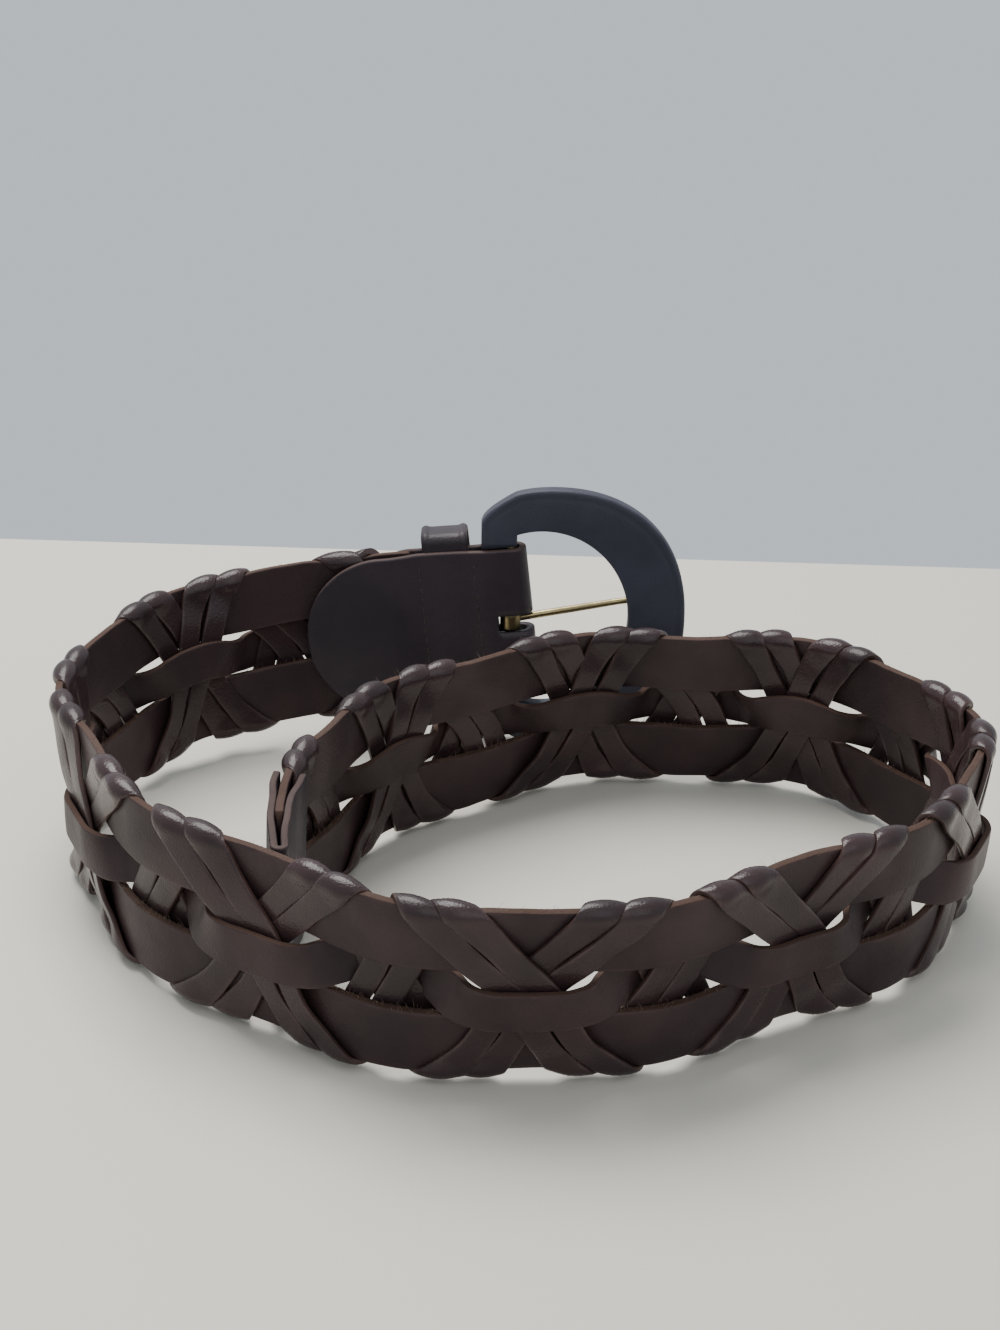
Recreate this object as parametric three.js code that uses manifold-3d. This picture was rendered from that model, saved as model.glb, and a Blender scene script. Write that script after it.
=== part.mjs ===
// Braided leather belt with a covered D-shaped buckle, standing on its edge in an open spiral.
// Millimetres, +Z up. The origin is the middle of the belt's box, on the surface that it stands on.

import * as THREE from 'three';
import { mergeVertices } from 'three/addons/utils/BufferGeometryUtils.js';
import Module from 'manifold-3d';

const wasm = await Module();
wasm.setup();

// Driving dimensions of the leather
const GAP = 0.3;
const FACE_GAP = 0.5;
const BELT_WIDTH = 50;
const BAND_WIDTH = 18;
const BAND_THICK = 2.2;
const MIDDLE_WIDTH = 12;
const MIDDLE_THICK = 1.8;
const THONG_WIDTH = 6.5;
const THONG_THICK = 1.4;
const REPEAT = 72;
const STRAP_START = 38;

// Distance of each layer of the braid from the middle plane of the bands
const LAYER_ONE = BAND_THICK / 2 + FACE_GAP + THONG_THICK / 2;
const LAYER_TWO = LAYER_ONE + THONG_THICK + FACE_GAP;
const MIDDLE_OUT = LAYER_TWO + THONG_THICK / 2 + GAP + MIDDLE_THICK / 2;

// Driving dimensions of the buckle end
const COVER_THICK = 2.2;
const COVER_WIDTH = 52;
const COVER_INNER_TIP = 74;
const COVER_OUTER_TIP = 60;
const POCKET_END = 13;
const SLOT_HEIGHT = 6.8;
const SLOT_BELOW_PRONG = 1.2;
const SLOT_START = -5;
const SLOT_END = 11.5;
const KEEPER_START = 18.3;
const KEEPER_WIDTH = 16;
const KEEPER_THICK = 1.6;
const KEEPER_TOP = 55.2;
const KEEPER_BOTTOM = -3.2;
const KEEPER_DEPTH = 10.6;
const KEEPER_CORNER = 2;
const BAR_RADIUS = 1.8;
const BAR_BEHIND_FOLD = 7.6;
const BAR_IN_FRAME = 1;
const FRAME_HALF_LENGTH = 43.7;
const FRAME_HALF_HEIGHT = 44.3;
const FRAME_FULLNESS = 2.25;
const FRAME_CENTRE = 12.7;
const FRAME_ARC_END = 105;
const FRAME_THICK = 4.5;
const FRAME_BEVEL = 0.9;
const HEEL_WIDTH = 11.5;
const HEEL_FRONT = 1.8;
const HEEL_CORNER_UP = 33.2;
const HEEL_CORNER_BEND = { front: 0.4, up: 3.5 };
const HEEL_CLEAR = 0.8;
const KEEPER_CLEAR = 4.1;
const OPENING_CENTRE = 10;
const OPENING_HALF_LENGTH = 28;
const OPENING_HALF_HEIGHT = 30.3;
const PRONG_RADIUS = 1.5;
const PRONG_TIP_RADIUS = 0.9;
const PRONG_LENGTH = 49;
const PRONG_HEIGHT = 26.2;
const PRONG_RISE = 6.2;
const PRONG_RESTS_BEFORE = 3;
const PRONG_ROOT_IN_CURL = 0.4;
const CURL_HEIGHT = 3.6;
const CURL_THICK = 1.2;

// Driving dimensions of the free end. TAB_START is a place in the braid, counted in repeats.
const TAB_THICK = 2;
const TAB_START = 7.44;
const STRAP_ENDS_IN_TAB = 23;

// Steps that curves are cut into
const BAND_STEPS = 112;
const SHEET_STEPS = 4;
const FOLD_STEPS = 6;
const CORNER_STEPS = 3;
const LEG_STEPS = 5;
const FRAME_STEPS = 20;
const BAR_SIDES = 12;
const PRONG_SIDES = 8;
const PRONG_STATIONS = [0, 0.12, 0.3, 0.5, 0.72, 0.9, 1];
const MERGE_WITHIN = 1e-4;

// Colours
const LEATHER = 0x3a2f2d;
const FRAME_LEATHER = 0x24242c;
const ANTIQUE_BRASS = 0x8c7a4a;

// How the belt lies. One row for each repeat of the braid, counted from the buckle, where the fold of the
// end cover is: its real length, its bend in degrees per 100 mm and its outward lean in degrees, both at
// its start. The last row is the short rest of the free end.
const LAY_ROWS = [
  { repeat: -4, length: 80, bend: -18, lean: 0 },
  { repeat: -3, length: 66, bend: 52, lean: 6 },
  { repeat: -2, length: 72, bend: 96, lean: 5 },
  { repeat: -1, length: 86, bend: 45, lean: 0 },
  { repeat: 0, length: 71, bend: 36, lean: 1 },
  { repeat: 1, length: 70, bend: 65, lean: 10 },
  { repeat: 2, length: 69, bend: 4, lean: 7 },
  { repeat: 3, length: 67, bend: 95, lean: 4 },
  { repeat: 4, length: 71, bend: 89, lean: -3 },
  { repeat: 5, length: 74, bend: 58, lean: -9 },
  { repeat: 6, length: 67, bend: 43, lean: -6 },
  { repeat: 7, length: 66, bend: 56, lean: -2 },
  { repeat: 8, length: 5, bend: 34, lean: -2 },
];
const LAY_END = { bend: 33, lean: -2 };
const LAY_HEADING = 181.7;
const LAY_STEP = 1;
const FIRST_REPEAT = LAY_ROWS[0].repeat;

// The buckle end is lifted, because the frame is taller than the belt and stands on the surface.
const LIFT = 14.3;
const LIFT_SPAN = 190;
const LIFT_POWER = 1.5;

// Height of the bands' lower edge above the surface, where the belt isn't lifted
const STAND_HEIGHT = 4.55;

// How far the tight braid pushes all its strands in at an outer crossing, and out at an inner one. The push
// grows and fades between these places in the braid, counted in repeats.
const PUSH = 2;
const PUSH_GROWS = { from: -3.05, to: -2.6 };
const PUSH_FADES = { from: 7.02, to: 7.4 };

// Centre line of a pair of thongs for one turn, for the pair that lies over the other outside. along is
// the distance from the outer crossing, up the height on the belt, out the distance from the middle plane
// where the thong goes round an edge, side the face that it lies on elsewhere, spread half the distance
// between the two thongs, and crosses is 1 where the two pairs lie one over the other.
const TURN_ROWS = [
  { along: -21.0, up: 52.9, out: 1.5, spread: 6.8 },
  { along: -20.3, up: 49.5, out: 2.9, spread: 7.2 },
  { along: -16.2, up: 45, side: 1, crosses: 0, spread: 6.8 },
  { along: -10.8, up: 39, side: 1, crosses: 1, spread: 5.2 },
  { along: 0, up: 25, side: 1, crosses: 1, spread: 4.15 },
  { along: 8.5, up: 10, side: 1, crosses: 1, spread: 4.3 },
  { along: 10.8, up: 5, side: 1, crosses: 0, spread: 4.8 },
  { along: 13.2, up: 0.5, out: 2.9, spread: 5.6 },
  { along: 17.0, up: -2.9, out: 1.5, spread: 6.1 },
  { along: 20.5, up: -2.9, out: -1.5, spread: 6.1 },
  { along: 23.6, up: 0.5, out: -2.9, spread: 5.6 },
  { along: 25.8, up: 4.5, side: -1, crosses: 0, spread: 4.8 },
  { along: 28.0, up: 9, side: -1, crosses: 1, spread: 4.2 },
  { along: 36, up: 25, side: -1, crosses: 1, spread: 3.95 },
  { along: 44.6, up: 40, side: -1, crosses: 1, spread: 4.7 },
  { along: 47.7, up: 45, side: -1, crosses: 0, spread: 5.4 },
  { along: 50.2, up: 49.5, out: -2.9, spread: 6.1 },
  { along: 51.0, up: 52.9, out: -1.5, spread: 6.5 },
];

// Turns of the thongs on both sides of the middle one, and the height above and below the middle of the
// belt from which the thongs turn round its edges
const TURNS = 8;
const EDGE_TURN = 23;

// Where the thongs start under the end cover and end in the free end
const THONG_START = -3.45;
const THONG_LAST_ROW = 7.38;
const THONG_END = { along: 38.5, fromMiddle: 2, spread: 4.8 };

// Centre line of the middle strap at each distance from an outer crossing, up to the inner crossing halfway
// to the next one: out is its distance from the middle plane, up its height, and turned the degrees that
// its upper edge leans inwards. It passes between the bands at MIDDLE_PASS.
const MIDDLE_PASS = 18.8;
const MIDDLE_ROWS = [
  { along: 0, out: MIDDLE_OUT + 0.4, up: 23.6, turned: 0 },
  { along: 14.4, out: MIDDLE_OUT + 0.1, up: 24.3, turned: 0 },
  { along: 16.6, out: 3.4, up: 25, turned: 16 },
  { along: MIDDLE_PASS, out: 0, up: 25.8, turned: 28 },
  { along: 21.0, out: -3.4, up: 26.2, turned: 16 },
  { along: 23.2, out: -MIDDLE_OUT - 0.1, up: 26.6, turned: 0 },
  { along: 36, out: -MIDDLE_OUT - 0.4, up: 28, turned: 0 },
];
const FIRST_CROSSING = -3;
const LAST_CROSSING = 7;
const MIDDLE_END = 7.6;

// Distance of a layer of the end cover from the middle plane, at each distance from the fold
const COVER_INNER_ROWS = [
  { at: POCKET_END, out: 3.2 },
  { at: 17, out: 2.2 },
  { at: 26, out: 2.2 },
  { at: 36, out: 2.2 },
  { at: 39, out: 4.2 },
  { at: 42, out: 5.8 },
  { at: 48, out: 5.9 },
  { at: 56, out: 5.8 },
  { at: 62.9, out: 5.2 },
  { at: 67.9, out: 4.2 },
  { at: 71.6, out: 3.5 },
  { at: 73.6, out: 3.2 },
];
const COVER_OUTER_ROWS = [
  { at: POCKET_END, out: 3.2 },
  { at: 17, out: 2.2 },
  { at: 26, out: 2.2 },
  { at: 36, out: 2.2 },
  { at: 39, out: 4.2 },
  { at: 42, out: 5.8 },
  { at: 48.9, out: 5.9 },
  { at: 53.9, out: 5.8 },
  { at: 57.6, out: 5.6 },
  { at: 59.6, out: 5.5 },
];
const COVER_FOLD = { centre: 4.3, out: 3.2 };

// The same for the doubled leather of the free end, at each distance from its start
const TAB_ROWS = [
  { at: 0, out: 5.1 },
  { at: 7, out: 5.1 },
  { at: 14, out: 5.0 },
  { at: 19, out: 2.8 },
  { at: 24, out: 2.6 },
  { at: 28, out: 1.4 },
  { at: 36, out: 1.4 },
];

// Plan of the belt

const radians = THREE.MathUtils.degToRad;
const rowStarts = LAY_ROWS.reduce((starts, row) => [...starts, starts.at(-1) + row.length], [0]);
const BELT_LENGTH = rowStarts.at(-1);

// The row that a distance from the fold falls in, the next row, and how far along the row it is, from 0 to 1.
function rowAt(distance) {
  let i = 0;
  while (i < LAY_ROWS.length - 1 && distance >= rowStarts[i + 1]) i += 1;
  const share = THREE.MathUtils.clamp((distance - rowStarts[i]) / LAY_ROWS[i].length, 0, 1);
  return { row: LAY_ROWS[i], next: LAY_ROWS[i + 1] ?? LAY_END, share };
}

function bendAt(distance) {
  const { row, next, share } = rowAt(distance);
  return radians(THREE.MathUtils.lerp(row.bend, next.bend, share)) / 100;
}

function leanAt(distance) {
  const { row, next, share } = rowAt(distance);
  return radians(THREE.MathUtils.lerp(row.lean, next.lean, THREE.MathUtils.smoothstep(share, 0, 1)));
}

// Plan positions and headings every millimetre from the fold to the free end.
function walkPlan() {
  const plan = [{ x: 0, y: 0, heading: radians(LAY_HEADING) }];
  for (let distance = 0; distance < BELT_LENGTH + LAY_STEP; distance += LAY_STEP) {
    const last = plan.at(-1);
    const middle = last.heading + bendAt(distance + LAY_STEP / 4) * LAY_STEP / 2;
    plan.push({
      x: last.x + Math.cos(middle) * LAY_STEP,
      y: last.y + Math.sin(middle) * LAY_STEP,
      heading: last.heading + bendAt(distance + LAY_STEP / 2) * LAY_STEP,
    });
  }
  return plan;
}

const plan = walkPlan();

function planAt(distance) {
  const i = THREE.MathUtils.clamp(Math.floor(distance / LAY_STEP), 0, plan.length - 2);
  const share = distance / LAY_STEP - i;
  return {
    x: THREE.MathUtils.lerp(plan[i].x, plan[i + 1].x, share),
    y: THREE.MathUtils.lerp(plan[i].y, plan[i + 1].y, share),
    heading: THREE.MathUtils.lerp(plan[i].heading, plan[i + 1].heading, share),
  };
}

function liftAt(distance) {
  const rest = THREE.MathUtils.clamp((LIFT_SPAN - distance) / LIFT_SPAN, 0, 2);
  return {
    height: LIFT * rest ** LIFT_POWER,
    slope: Math.atan(LIFT * LIFT_POWER * rest ** (LIFT_POWER - 1) / LIFT_SPAN),
  };
}

// A point of the belt from its distance from the fold, its height on the belt and its distance outwards.
function place(distance, up, out) {
  const { x, y, heading } = planAt(distance);
  const { height, slope } = liftAt(distance);
  const lean = leanAt(distance);
  const tangent = new THREE.Vector3(Math.cos(heading), Math.sin(heading), 0);
  const outward = new THREE.Vector3(Math.sin(heading), -Math.cos(heading), 0);
  const upright = new THREE.Vector3(0, 0, Math.cos(slope)).addScaledVector(tangent, Math.sin(slope));
  const across = upright.clone().multiplyScalar(Math.cos(lean)).addScaledVector(outward, Math.sin(lean));
  const facing = outward.clone().multiplyScalar(Math.cos(lean)).addScaledVector(upright, -Math.sin(lean));
  return new THREE.Vector3(x, y, height).addScaledVector(across, up).addScaledVector(facing, out);
}

// Distance from the fold of a place in the braid, given in repeats.
function distanceOf(repeat) {
  const i = THREE.MathUtils.clamp(Math.floor(repeat) - FIRST_REPEAT, 0, LAY_ROWS.length - 2);
  return rowStarts[i] + (repeat - LAY_ROWS[i].repeat) * LAY_ROWS[i].length;
}

// The other way round: the place in the braid, in repeats, at a distance from the fold.
function repeatOf(distance) {
  const { row, share } = rowAt(distance);
  return row.repeat + share;
}

// How far the braid's strands are pushed outwards at a place in the braid, given in repeats.
function pushAt(repeat) {
  const grown = THREE.MathUtils.smoothstep(repeat, PUSH_GROWS.from, PUSH_GROWS.to);
  const faded = THREE.MathUtils.smoothstep(repeat, PUSH_FADES.from, PUSH_FADES.to);
  return -PUSH * grown * (1 - faded) * Math.cos(2 * Math.PI * repeat);
}

// The braid is worked out flat, with repeats of one length, and then laid along the belt.
function lay(flat) {
  const repeat = flat.x / REPEAT;
  return place(distanceOf(repeat), flat.y, flat.z + pushAt(repeat));
}

// Solids

function signedVolume(positions, index) {
  const corner = (i) => new THREE.Vector3().fromArray(positions, index[i] * 3);
  let volume = 0;
  for (let i = 0; i < index.length; i += 3) {
    volume += corner(i).dot(corner(i + 1).cross(corner(i + 2))) / 6;
  }
  return volume;
}

function indexedGeometry(positions, index) {
  const geometry = new THREE.BufferGeometry();
  geometry.setAttribute('position', new THREE.Float32BufferAttribute(positions, 3));
  geometry.setIndex(index);
  geometry.computeVertexNormals();
  return geometry;
}

// A closed solid through rings of points. A looped one joins its last ring to its first.
function ringSolid(rings, looped = false) {
  const count = rings[0].length;
  const positions = rings.flat().flatMap((point) => point.toArray());
  const index = [];
  const spans = looped ? rings.length : rings.length - 1;
  for (let i = 0; i < spans; i += 1) {
    for (let j = 0; j < count; j += 1) {
      const here = i * count;
      const there = ((i + 1) % rings.length) * count;
      const next = (j + 1) % count;
      index.push(here + j, here + next, there + next, here + j, there + next, there + j);
    }
  }
  const end = (rings.length - 1) * count;
  for (let j = 1; j < count - 1 && !looped; j += 1) {
    index.push(0, j + 1, j, end, end + j, end + j + 1);
  }
  if (signedVolume(positions, index) < 0) index.reverse();
  return indexedGeometry(positions, index);
}

// The same value of a function at evenly spaced shares from 0 to 1.
function evenly(steps, value) {
  return Array.from({ length: steps + 1 }, (_, i) => value(i / steps));
}

// Four corners of a strip's section, round its centre.
function stripSection(centre, across, normal, width, thick) {
  const corners = [[-1, -1], [1, -1], [1, 1], [-1, 1]];
  return corners.map(([a, n]) => centre.clone()
    .addScaledVector(across, a * width / 2)
    .addScaledVector(normal, n * thick / 2));
}

// A strip of leather along a line of flat braid points, with the side of each point that faces away
// from the middle of the belt.
function strandSolid(points, outwards, width, thick) {
  const rings = points.map((point, i) => {
    const before = points[Math.max(i - 1, 0)];
    const after = points[Math.min(i + 1, points.length - 1)];
    const tangent = after.clone().sub(before).normalize();
    const across = new THREE.Vector3().crossVectors(outwards[i], tangent).normalize();
    const normal = new THREE.Vector3().crossVectors(tangent, across);
    return stripSection(point, across, normal, width, thick).map(lay);
  });
  return ringSolid(rings);
}

function solidOf(geometry) {
  const bare = new THREE.BufferGeometry();
  bare.setAttribute('position', geometry.getAttribute('position'));
  bare.setIndex(geometry.getIndex());
  const merged = mergeVertices(bare, MERGE_WITHIN);
  return new wasm.Manifold(new wasm.Mesh({
    numProp: 3,
    vertProperties: merged.attributes.position.array,
    triVerts: new Uint32Array(merged.index.array),
  }));
}

function geometryOf(solid) {
  const mesh = solid.getMesh();
  return indexedGeometry(Array.from(mesh.vertProperties), Array.from(mesh.triVerts));
}

// Straps and thongs

const tabStart = distanceOf(TAB_START);
const strapEnd = tabStart + STRAP_ENDS_IN_TAB;

function bandGeometry(bottom) {
  const top = bottom + BAND_WIDTH;
  const half = BAND_THICK / 2;
  const corners = [[bottom, -half], [top, -half], [top, half], [bottom, half]];
  return ringSolid(evenly(BAND_STEPS, (share) => {
    const along = THREE.MathUtils.lerp(repeatOf(STRAP_START), repeatOf(strapEnd), share) * REPEAT;
    return corners.map(([up, out]) => lay(new THREE.Vector3(along, up, out)));
  }));
}

// Rows of the whole middle strap: between the bands at both ends, and over and under the crossings.
function middleRows() {
  const rows = [];
  const rampIn = FIRST_CROSSING * REPEAT - MIDDLE_PASS;
  const rampOut = LAST_CROSSING * REPEAT + MIDDLE_PASS;
  const flatStart = (FIRST_REPEAT + STRAP_START / LAY_ROWS[0].length) * REPEAT;
  const flatEnd = MIDDLE_END * REPEAT;
  const flat = (along) => ({ along, out: 0, up: BELT_WIDTH / 2, turned: 0 });
  rows.push(flat(flatStart), flat((flatStart + rampIn) / 2));
  for (let crossing = FIRST_CROSSING; crossing <= LAST_CROSSING; crossing += 1) {
    const before = MIDDLE_ROWS.slice(1).reverse().map((row) => ({ ...row, along: -row.along }));
    for (const row of [...before, ...MIDDLE_ROWS]) {
      const along = crossing * REPEAT + row.along;
      const shared = row.along === -REPEAT / 2 && crossing > FIRST_CROSSING;
      const atAnEnd = along < FIRST_CROSSING * REPEAT || along > LAST_CROSSING * REPEAT;
      const turned = atAnEnd ? 0 : row.turned;
      if (along >= rampIn && along <= rampOut && !shared) rows.push({ ...row, along, turned });
    }
  }
  rows.push(flat((flatEnd + rampOut) / 2), flat(flatEnd));
  return rows;
}

function middleGeometry() {
  const rows = middleRows();
  const points = rows.map(({ along, out, up }) => new THREE.Vector3(along, up, out));
  const outwards = rows.map(({ turned }) => (
    new THREE.Vector3(0, Math.sin(radians(turned)), Math.cos(radians(turned)))));
  return strandSolid(points, outwards, MIDDLE_WIDTH, MIDDLE_THICK);
}

// Turns of a pair of thongs as rows with their place along the flat belt. The pair that lies under the
// other outside is the mirror image, and it lies over the other inside.
function pairRows(mirrored) {
  const rows = [];
  for (let turn = -TURNS; turn <= TURNS; turn += 1) {
    for (const row of TURN_ROWS) {
      const crossing = turn + (row.side === -1 ? 0.5 : 0);
      rows.push({ ...row, along: turn * REPEAT + row.along, crossing });
    }
  }
  if (!mirrored) return rows;
  return rows.map((row) => ({ ...row, along: -row.along, crossing: -row.crossing })).reverse();
}

function outOf(row, mirrored) {
  if (row.side === undefined) return row.out;
  const over = row.side === (mirrored ? -1 : 1);
  const inBraid = row.crossing >= FIRST_CROSSING && row.crossing <= LAST_CROSSING;
  const layer = over && inBraid && row.crosses === 1 ? LAYER_TWO : LAYER_ONE;
  return layer * row.side;
}

// One thong of a pair: which is -1 or 1.
function thongGeometry(mirrored, which) {
  const startsAt = (row) => row.side === -1 && row.crosses === 0 && row.along > THONG_START * REPEAT;
  const rows = pairRows(mirrored);
  const first = rows.findIndex(startsAt);
  const last = rows.findLastIndex((row) => row.along < THONG_LAST_ROW * REPEAT && row.side !== 1);
  const used = rows.slice(first, last + 1);
  const middle = BELT_WIDTH / 2;
  const end = {
    along: LAST_CROSSING * REPEAT + THONG_END.along,
    up: middle + (mirrored ? 1 : -1) * THONG_END.fromMiddle,
    side: -1,
    crosses: 0,
    crossing: LAST_CROSSING + 0.5,
    spread: THONG_END.spread,
  };
  used.push(end);
  const points = used.map((row) => (
    new THREE.Vector3(row.along + which * row.spread, row.up, outOf(row, mirrored))));
  const outwards = used.map((row) => {
    if (row.side !== undefined) return new THREE.Vector3(0, 0, row.side);
    const fromMiddle = row.up - middle;
    return new THREE.Vector3(0, fromMiddle - Math.sign(fromMiddle) * EDGE_TURN, row.out).normalize();
  });
  return strandSolid(points, outwards, THONG_WIDTH, THONG_THICK);
}

// Folded leather: the end cover and the free end

// Centre line of a folded sheet in its own plane, from the tip of its inner layer round the fold to the
// tip of its outer layer. Each point has its distance along the belt and its distance outwards.
function foldedLine(innerRows, outerRows, fold, towards) {
  const line = innerRows.map(({ at, out }) => new THREE.Vector2(at, -out)).reverse();
  for (let i = 0; i <= FOLD_STEPS; i += 1) {
    const angle = Math.PI * (i / FOLD_STEPS - 0.5);
    const at = fold.centre + towards * fold.out * Math.cos(angle);
    line.push(new THREE.Vector2(at, fold.out * Math.sin(angle)));
  }
  return [...line, ...outerRows.map(({ at, out }) => new THREE.Vector2(at, out))];
}

// A folded sheet. edges gives the lower and upper edge of the sheet at a point of its centre line.
function foldedGeometry(line, thick, edges) {
  const rings = line.map((point, i) => {
    const before = line[Math.max(i - 1, 0)];
    const after = line[Math.min(i + 1, line.length - 1)];
    const normal = after.clone().sub(before).normalize().rotateAround(new THREE.Vector2(), Math.PI / 2);
    const inside = point.clone().addScaledVector(normal, -thick / 2);
    const outside = point.clone().addScaledVector(normal, thick / 2);
    const [low, high] = edges(point);
    const up = (share) => THREE.MathUtils.lerp(low, high, share);
    const innerSide = evenly(SHEET_STEPS, (share) => place(inside.x, up(share), inside.y));
    const outerSide = evenly(SHEET_STEPS, (share) => place(outside.x, up(share), outside.y));
    return [...innerSide, ...outerSide.reverse()];
  });
  return ringSolid(rings);
}

// Edges of the end cover, whose two layers end in a half round.
function coverEdges(point) {
  const radius = COVER_WIDTH / 2;
  const tip = point.y < 0 ? COVER_INNER_TIP : COVER_OUTER_TIP;
  const past = Math.max(0, point.x - (tip - radius));
  const half = Math.sqrt(radius ** 2 - past ** 2);
  return [BELT_WIDTH / 2 - half, BELT_WIDTH / 2 + half];
}

function coverGeometry() {
  const line = foldedLine(COVER_INNER_ROWS, COVER_OUTER_ROWS, COVER_FOLD, -1);
  const sheet = foldedGeometry(line, COVER_THICK, coverEdges);
  const middle = PRONG_HEIGHT - SLOT_BELOW_PRONG;
  const low = middle - SLOT_HEIGHT / 2;
  const high = middle + SLOT_HEIGHT / 2;
  const reach = 2 * (COVER_FOLD.out + COVER_THICK);
  const cutter = ringSolid([SLOT_START, SLOT_END].map((distance) => [
    place(distance, low, -reach), place(distance, high, -reach),
    place(distance, high, reach), place(distance, low, reach)]));
  return geometryOf(solidOf(sheet).subtract(solidOf(cutter)));
}

function tabGeometry() {
  const rows = TAB_ROWS.map(({ at, out }) => ({ at: tabStart + at, out }));
  const foldOut = TAB_ROWS.at(-1).out;
  const fold = { centre: BELT_LENGTH - foldOut - TAB_THICK / 2, out: foldOut };
  const innerRows = rows.slice().reverse();
  const line = foldedLine(innerRows, innerRows, fold, 1);
  return foldedGeometry(line, TAB_THICK, () => [0, BELT_WIDTH]);
}

// Keeper: a loop that goes between the layers of the end cover and round its outer layer
function keeperGeometry() {
  const top = KEEPER_TOP - KEEPER_CORNER;
  const bottom = KEEPER_BOTTOM + KEEPER_CORNER;
  const corners = [
    { up: top, out: KEEPER_CORNER, from: 270 },
    { up: top, out: KEEPER_DEPTH - KEEPER_CORNER, from: 0 },
    { up: bottom, out: KEEPER_DEPTH - KEEPER_CORNER, from: 90 },
    { up: bottom, out: KEEPER_CORNER, from: 180 },
  ];
  const bends = corners.flatMap(({ up, out, from }) => evenly(CORNER_STEPS, (share) => ({
    up, out, angle: radians(from + 90 * share) })));
  const innerLeg = evenly(LEG_STEPS, (share) => ({
    up: THREE.MathUtils.lerp(bottom, top, share), out: KEEPER_CORNER, angle: radians(270) })).slice(1, -1);
  const rings = [...bends, ...innerLeg].map(({ up, out, angle }) => {
    const [inside, outside] = [-1, 1].map((side) => {
      const radius = KEEPER_CORNER + side * KEEPER_THICK / 2;
      return { up: up + radius * Math.cos(angle), out: out + radius * Math.sin(angle) };
    });
    const end = KEEPER_START + KEEPER_WIDTH;
    return [place(KEEPER_START, inside.up, inside.out), place(end, inside.up, inside.out),
      place(end, outside.up, outside.out), place(KEEPER_START, outside.up, outside.out)];
  });
  return ringSolid(rings, true);
}

// Buckle, in its own frame: X away from the belt, Y outwards, Z up, and the bar on the Z axis

const bar = place(BAR_BEHIND_FOLD, BELT_WIDTH / 2, 0);
const frameHeight = FRAME_HALF_HEIGHT - STAND_HEIGHT;

// Height of an edge of the end cover above the middle of the frame, at a distance in front of the bar.
function coverEdgeAt(front, up) {
  return place(BAR_BEHIND_FOLD - front, up, 0).z - frameHeight;
}

// Outer edge of the frame: half an ellipse behind its middle, and in front a fuller oval, in which the
// powers of the distances front and up add up to one.
function frameEdge(angle) {
  const power = Math.cos(angle) > 0 ? 2 / FRAME_FULLNESS : 1;
  const front = Math.sign(Math.cos(angle)) * Math.abs(Math.cos(angle)) ** power;
  const up = Math.sign(Math.sin(angle)) * Math.abs(Math.sin(angle)) ** power;
  return [FRAME_CENTRE + FRAME_HALF_LENGTH * front, FRAME_HALF_HEIGHT * up];
}

function frameGeometry() {
  const back = HEEL_FRONT - HEEL_WIDTH;
  const coverTop = BELT_WIDTH / 2 + COVER_WIDTH / 2;
  const coverBottom = BELT_WIDTH / 2 - COVER_WIDTH / 2;
  const arcAngle = radians(FRAME_ARC_END);
  const bend = { front: back + HEEL_CORNER_BEND.front, up: HEEL_CORNER_UP + HEEL_CORNER_BEND.up };
  const openingAngle = Math.acos((HEEL_FRONT - OPENING_CENTRE) / OPENING_HALF_LENGTH);
  const shape = new THREE.Shape();
  shape.moveTo(back, coverEdgeAt(back, coverTop) + HEEL_CLEAR);
  shape.lineTo(back, HEEL_CORNER_UP);
  shape.quadraticCurveTo(bend.front, bend.up, ...frameEdge(arcAngle));
  for (let i = 1; i <= 2 * FRAME_STEPS; i += 1) {
    shape.lineTo(...frameEdge(arcAngle * (1 - i / FRAME_STEPS)));
  }
  shape.quadraticCurveTo(bend.front, -bend.up, back, -HEEL_CORNER_UP);
  shape.lineTo(back, coverEdgeAt(back, coverBottom) - KEEPER_CLEAR);
  shape.lineTo(HEEL_FRONT, coverEdgeAt(HEEL_FRONT, coverBottom) - HEEL_CLEAR);
  shape.absellipse(
    OPENING_CENTRE,
    0,
    OPENING_HALF_LENGTH,
    OPENING_HALF_HEIGHT,
    -openingAngle,
    openingAngle,
    false,
  );
  shape.lineTo(HEEL_FRONT, coverEdgeAt(HEEL_FRONT, coverTop) + HEEL_CLEAR);
  shape.closePath();
  const plate = new THREE.ExtrudeGeometry(shape, {
    depth: FRAME_THICK - 2 * FRAME_BEVEL,
    bevelEnabled: true,
    bevelThickness: FRAME_BEVEL,
    bevelSize: FRAME_BEVEL,
    bevelOffset: -FRAME_BEVEL,
    bevelSegments: 1,
    curveSegments: FRAME_STEPS,
  });
  plate.translate(0, 0, FRAME_BEVEL - FRAME_THICK / 2);
  plate.rotateX(Math.PI / 2);
  const barLength = 2 * (OPENING_HALF_HEIGHT + BAR_IN_FRAME);
  const barPiece = new THREE.CylinderGeometry(BAR_RADIUS, BAR_RADIUS, barLength, BAR_SIDES);
  barPiece.rotateX(Math.PI / 2);
  return geometryOf(solidOf(plate).add(solidOf(barPiece)));
}

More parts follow.
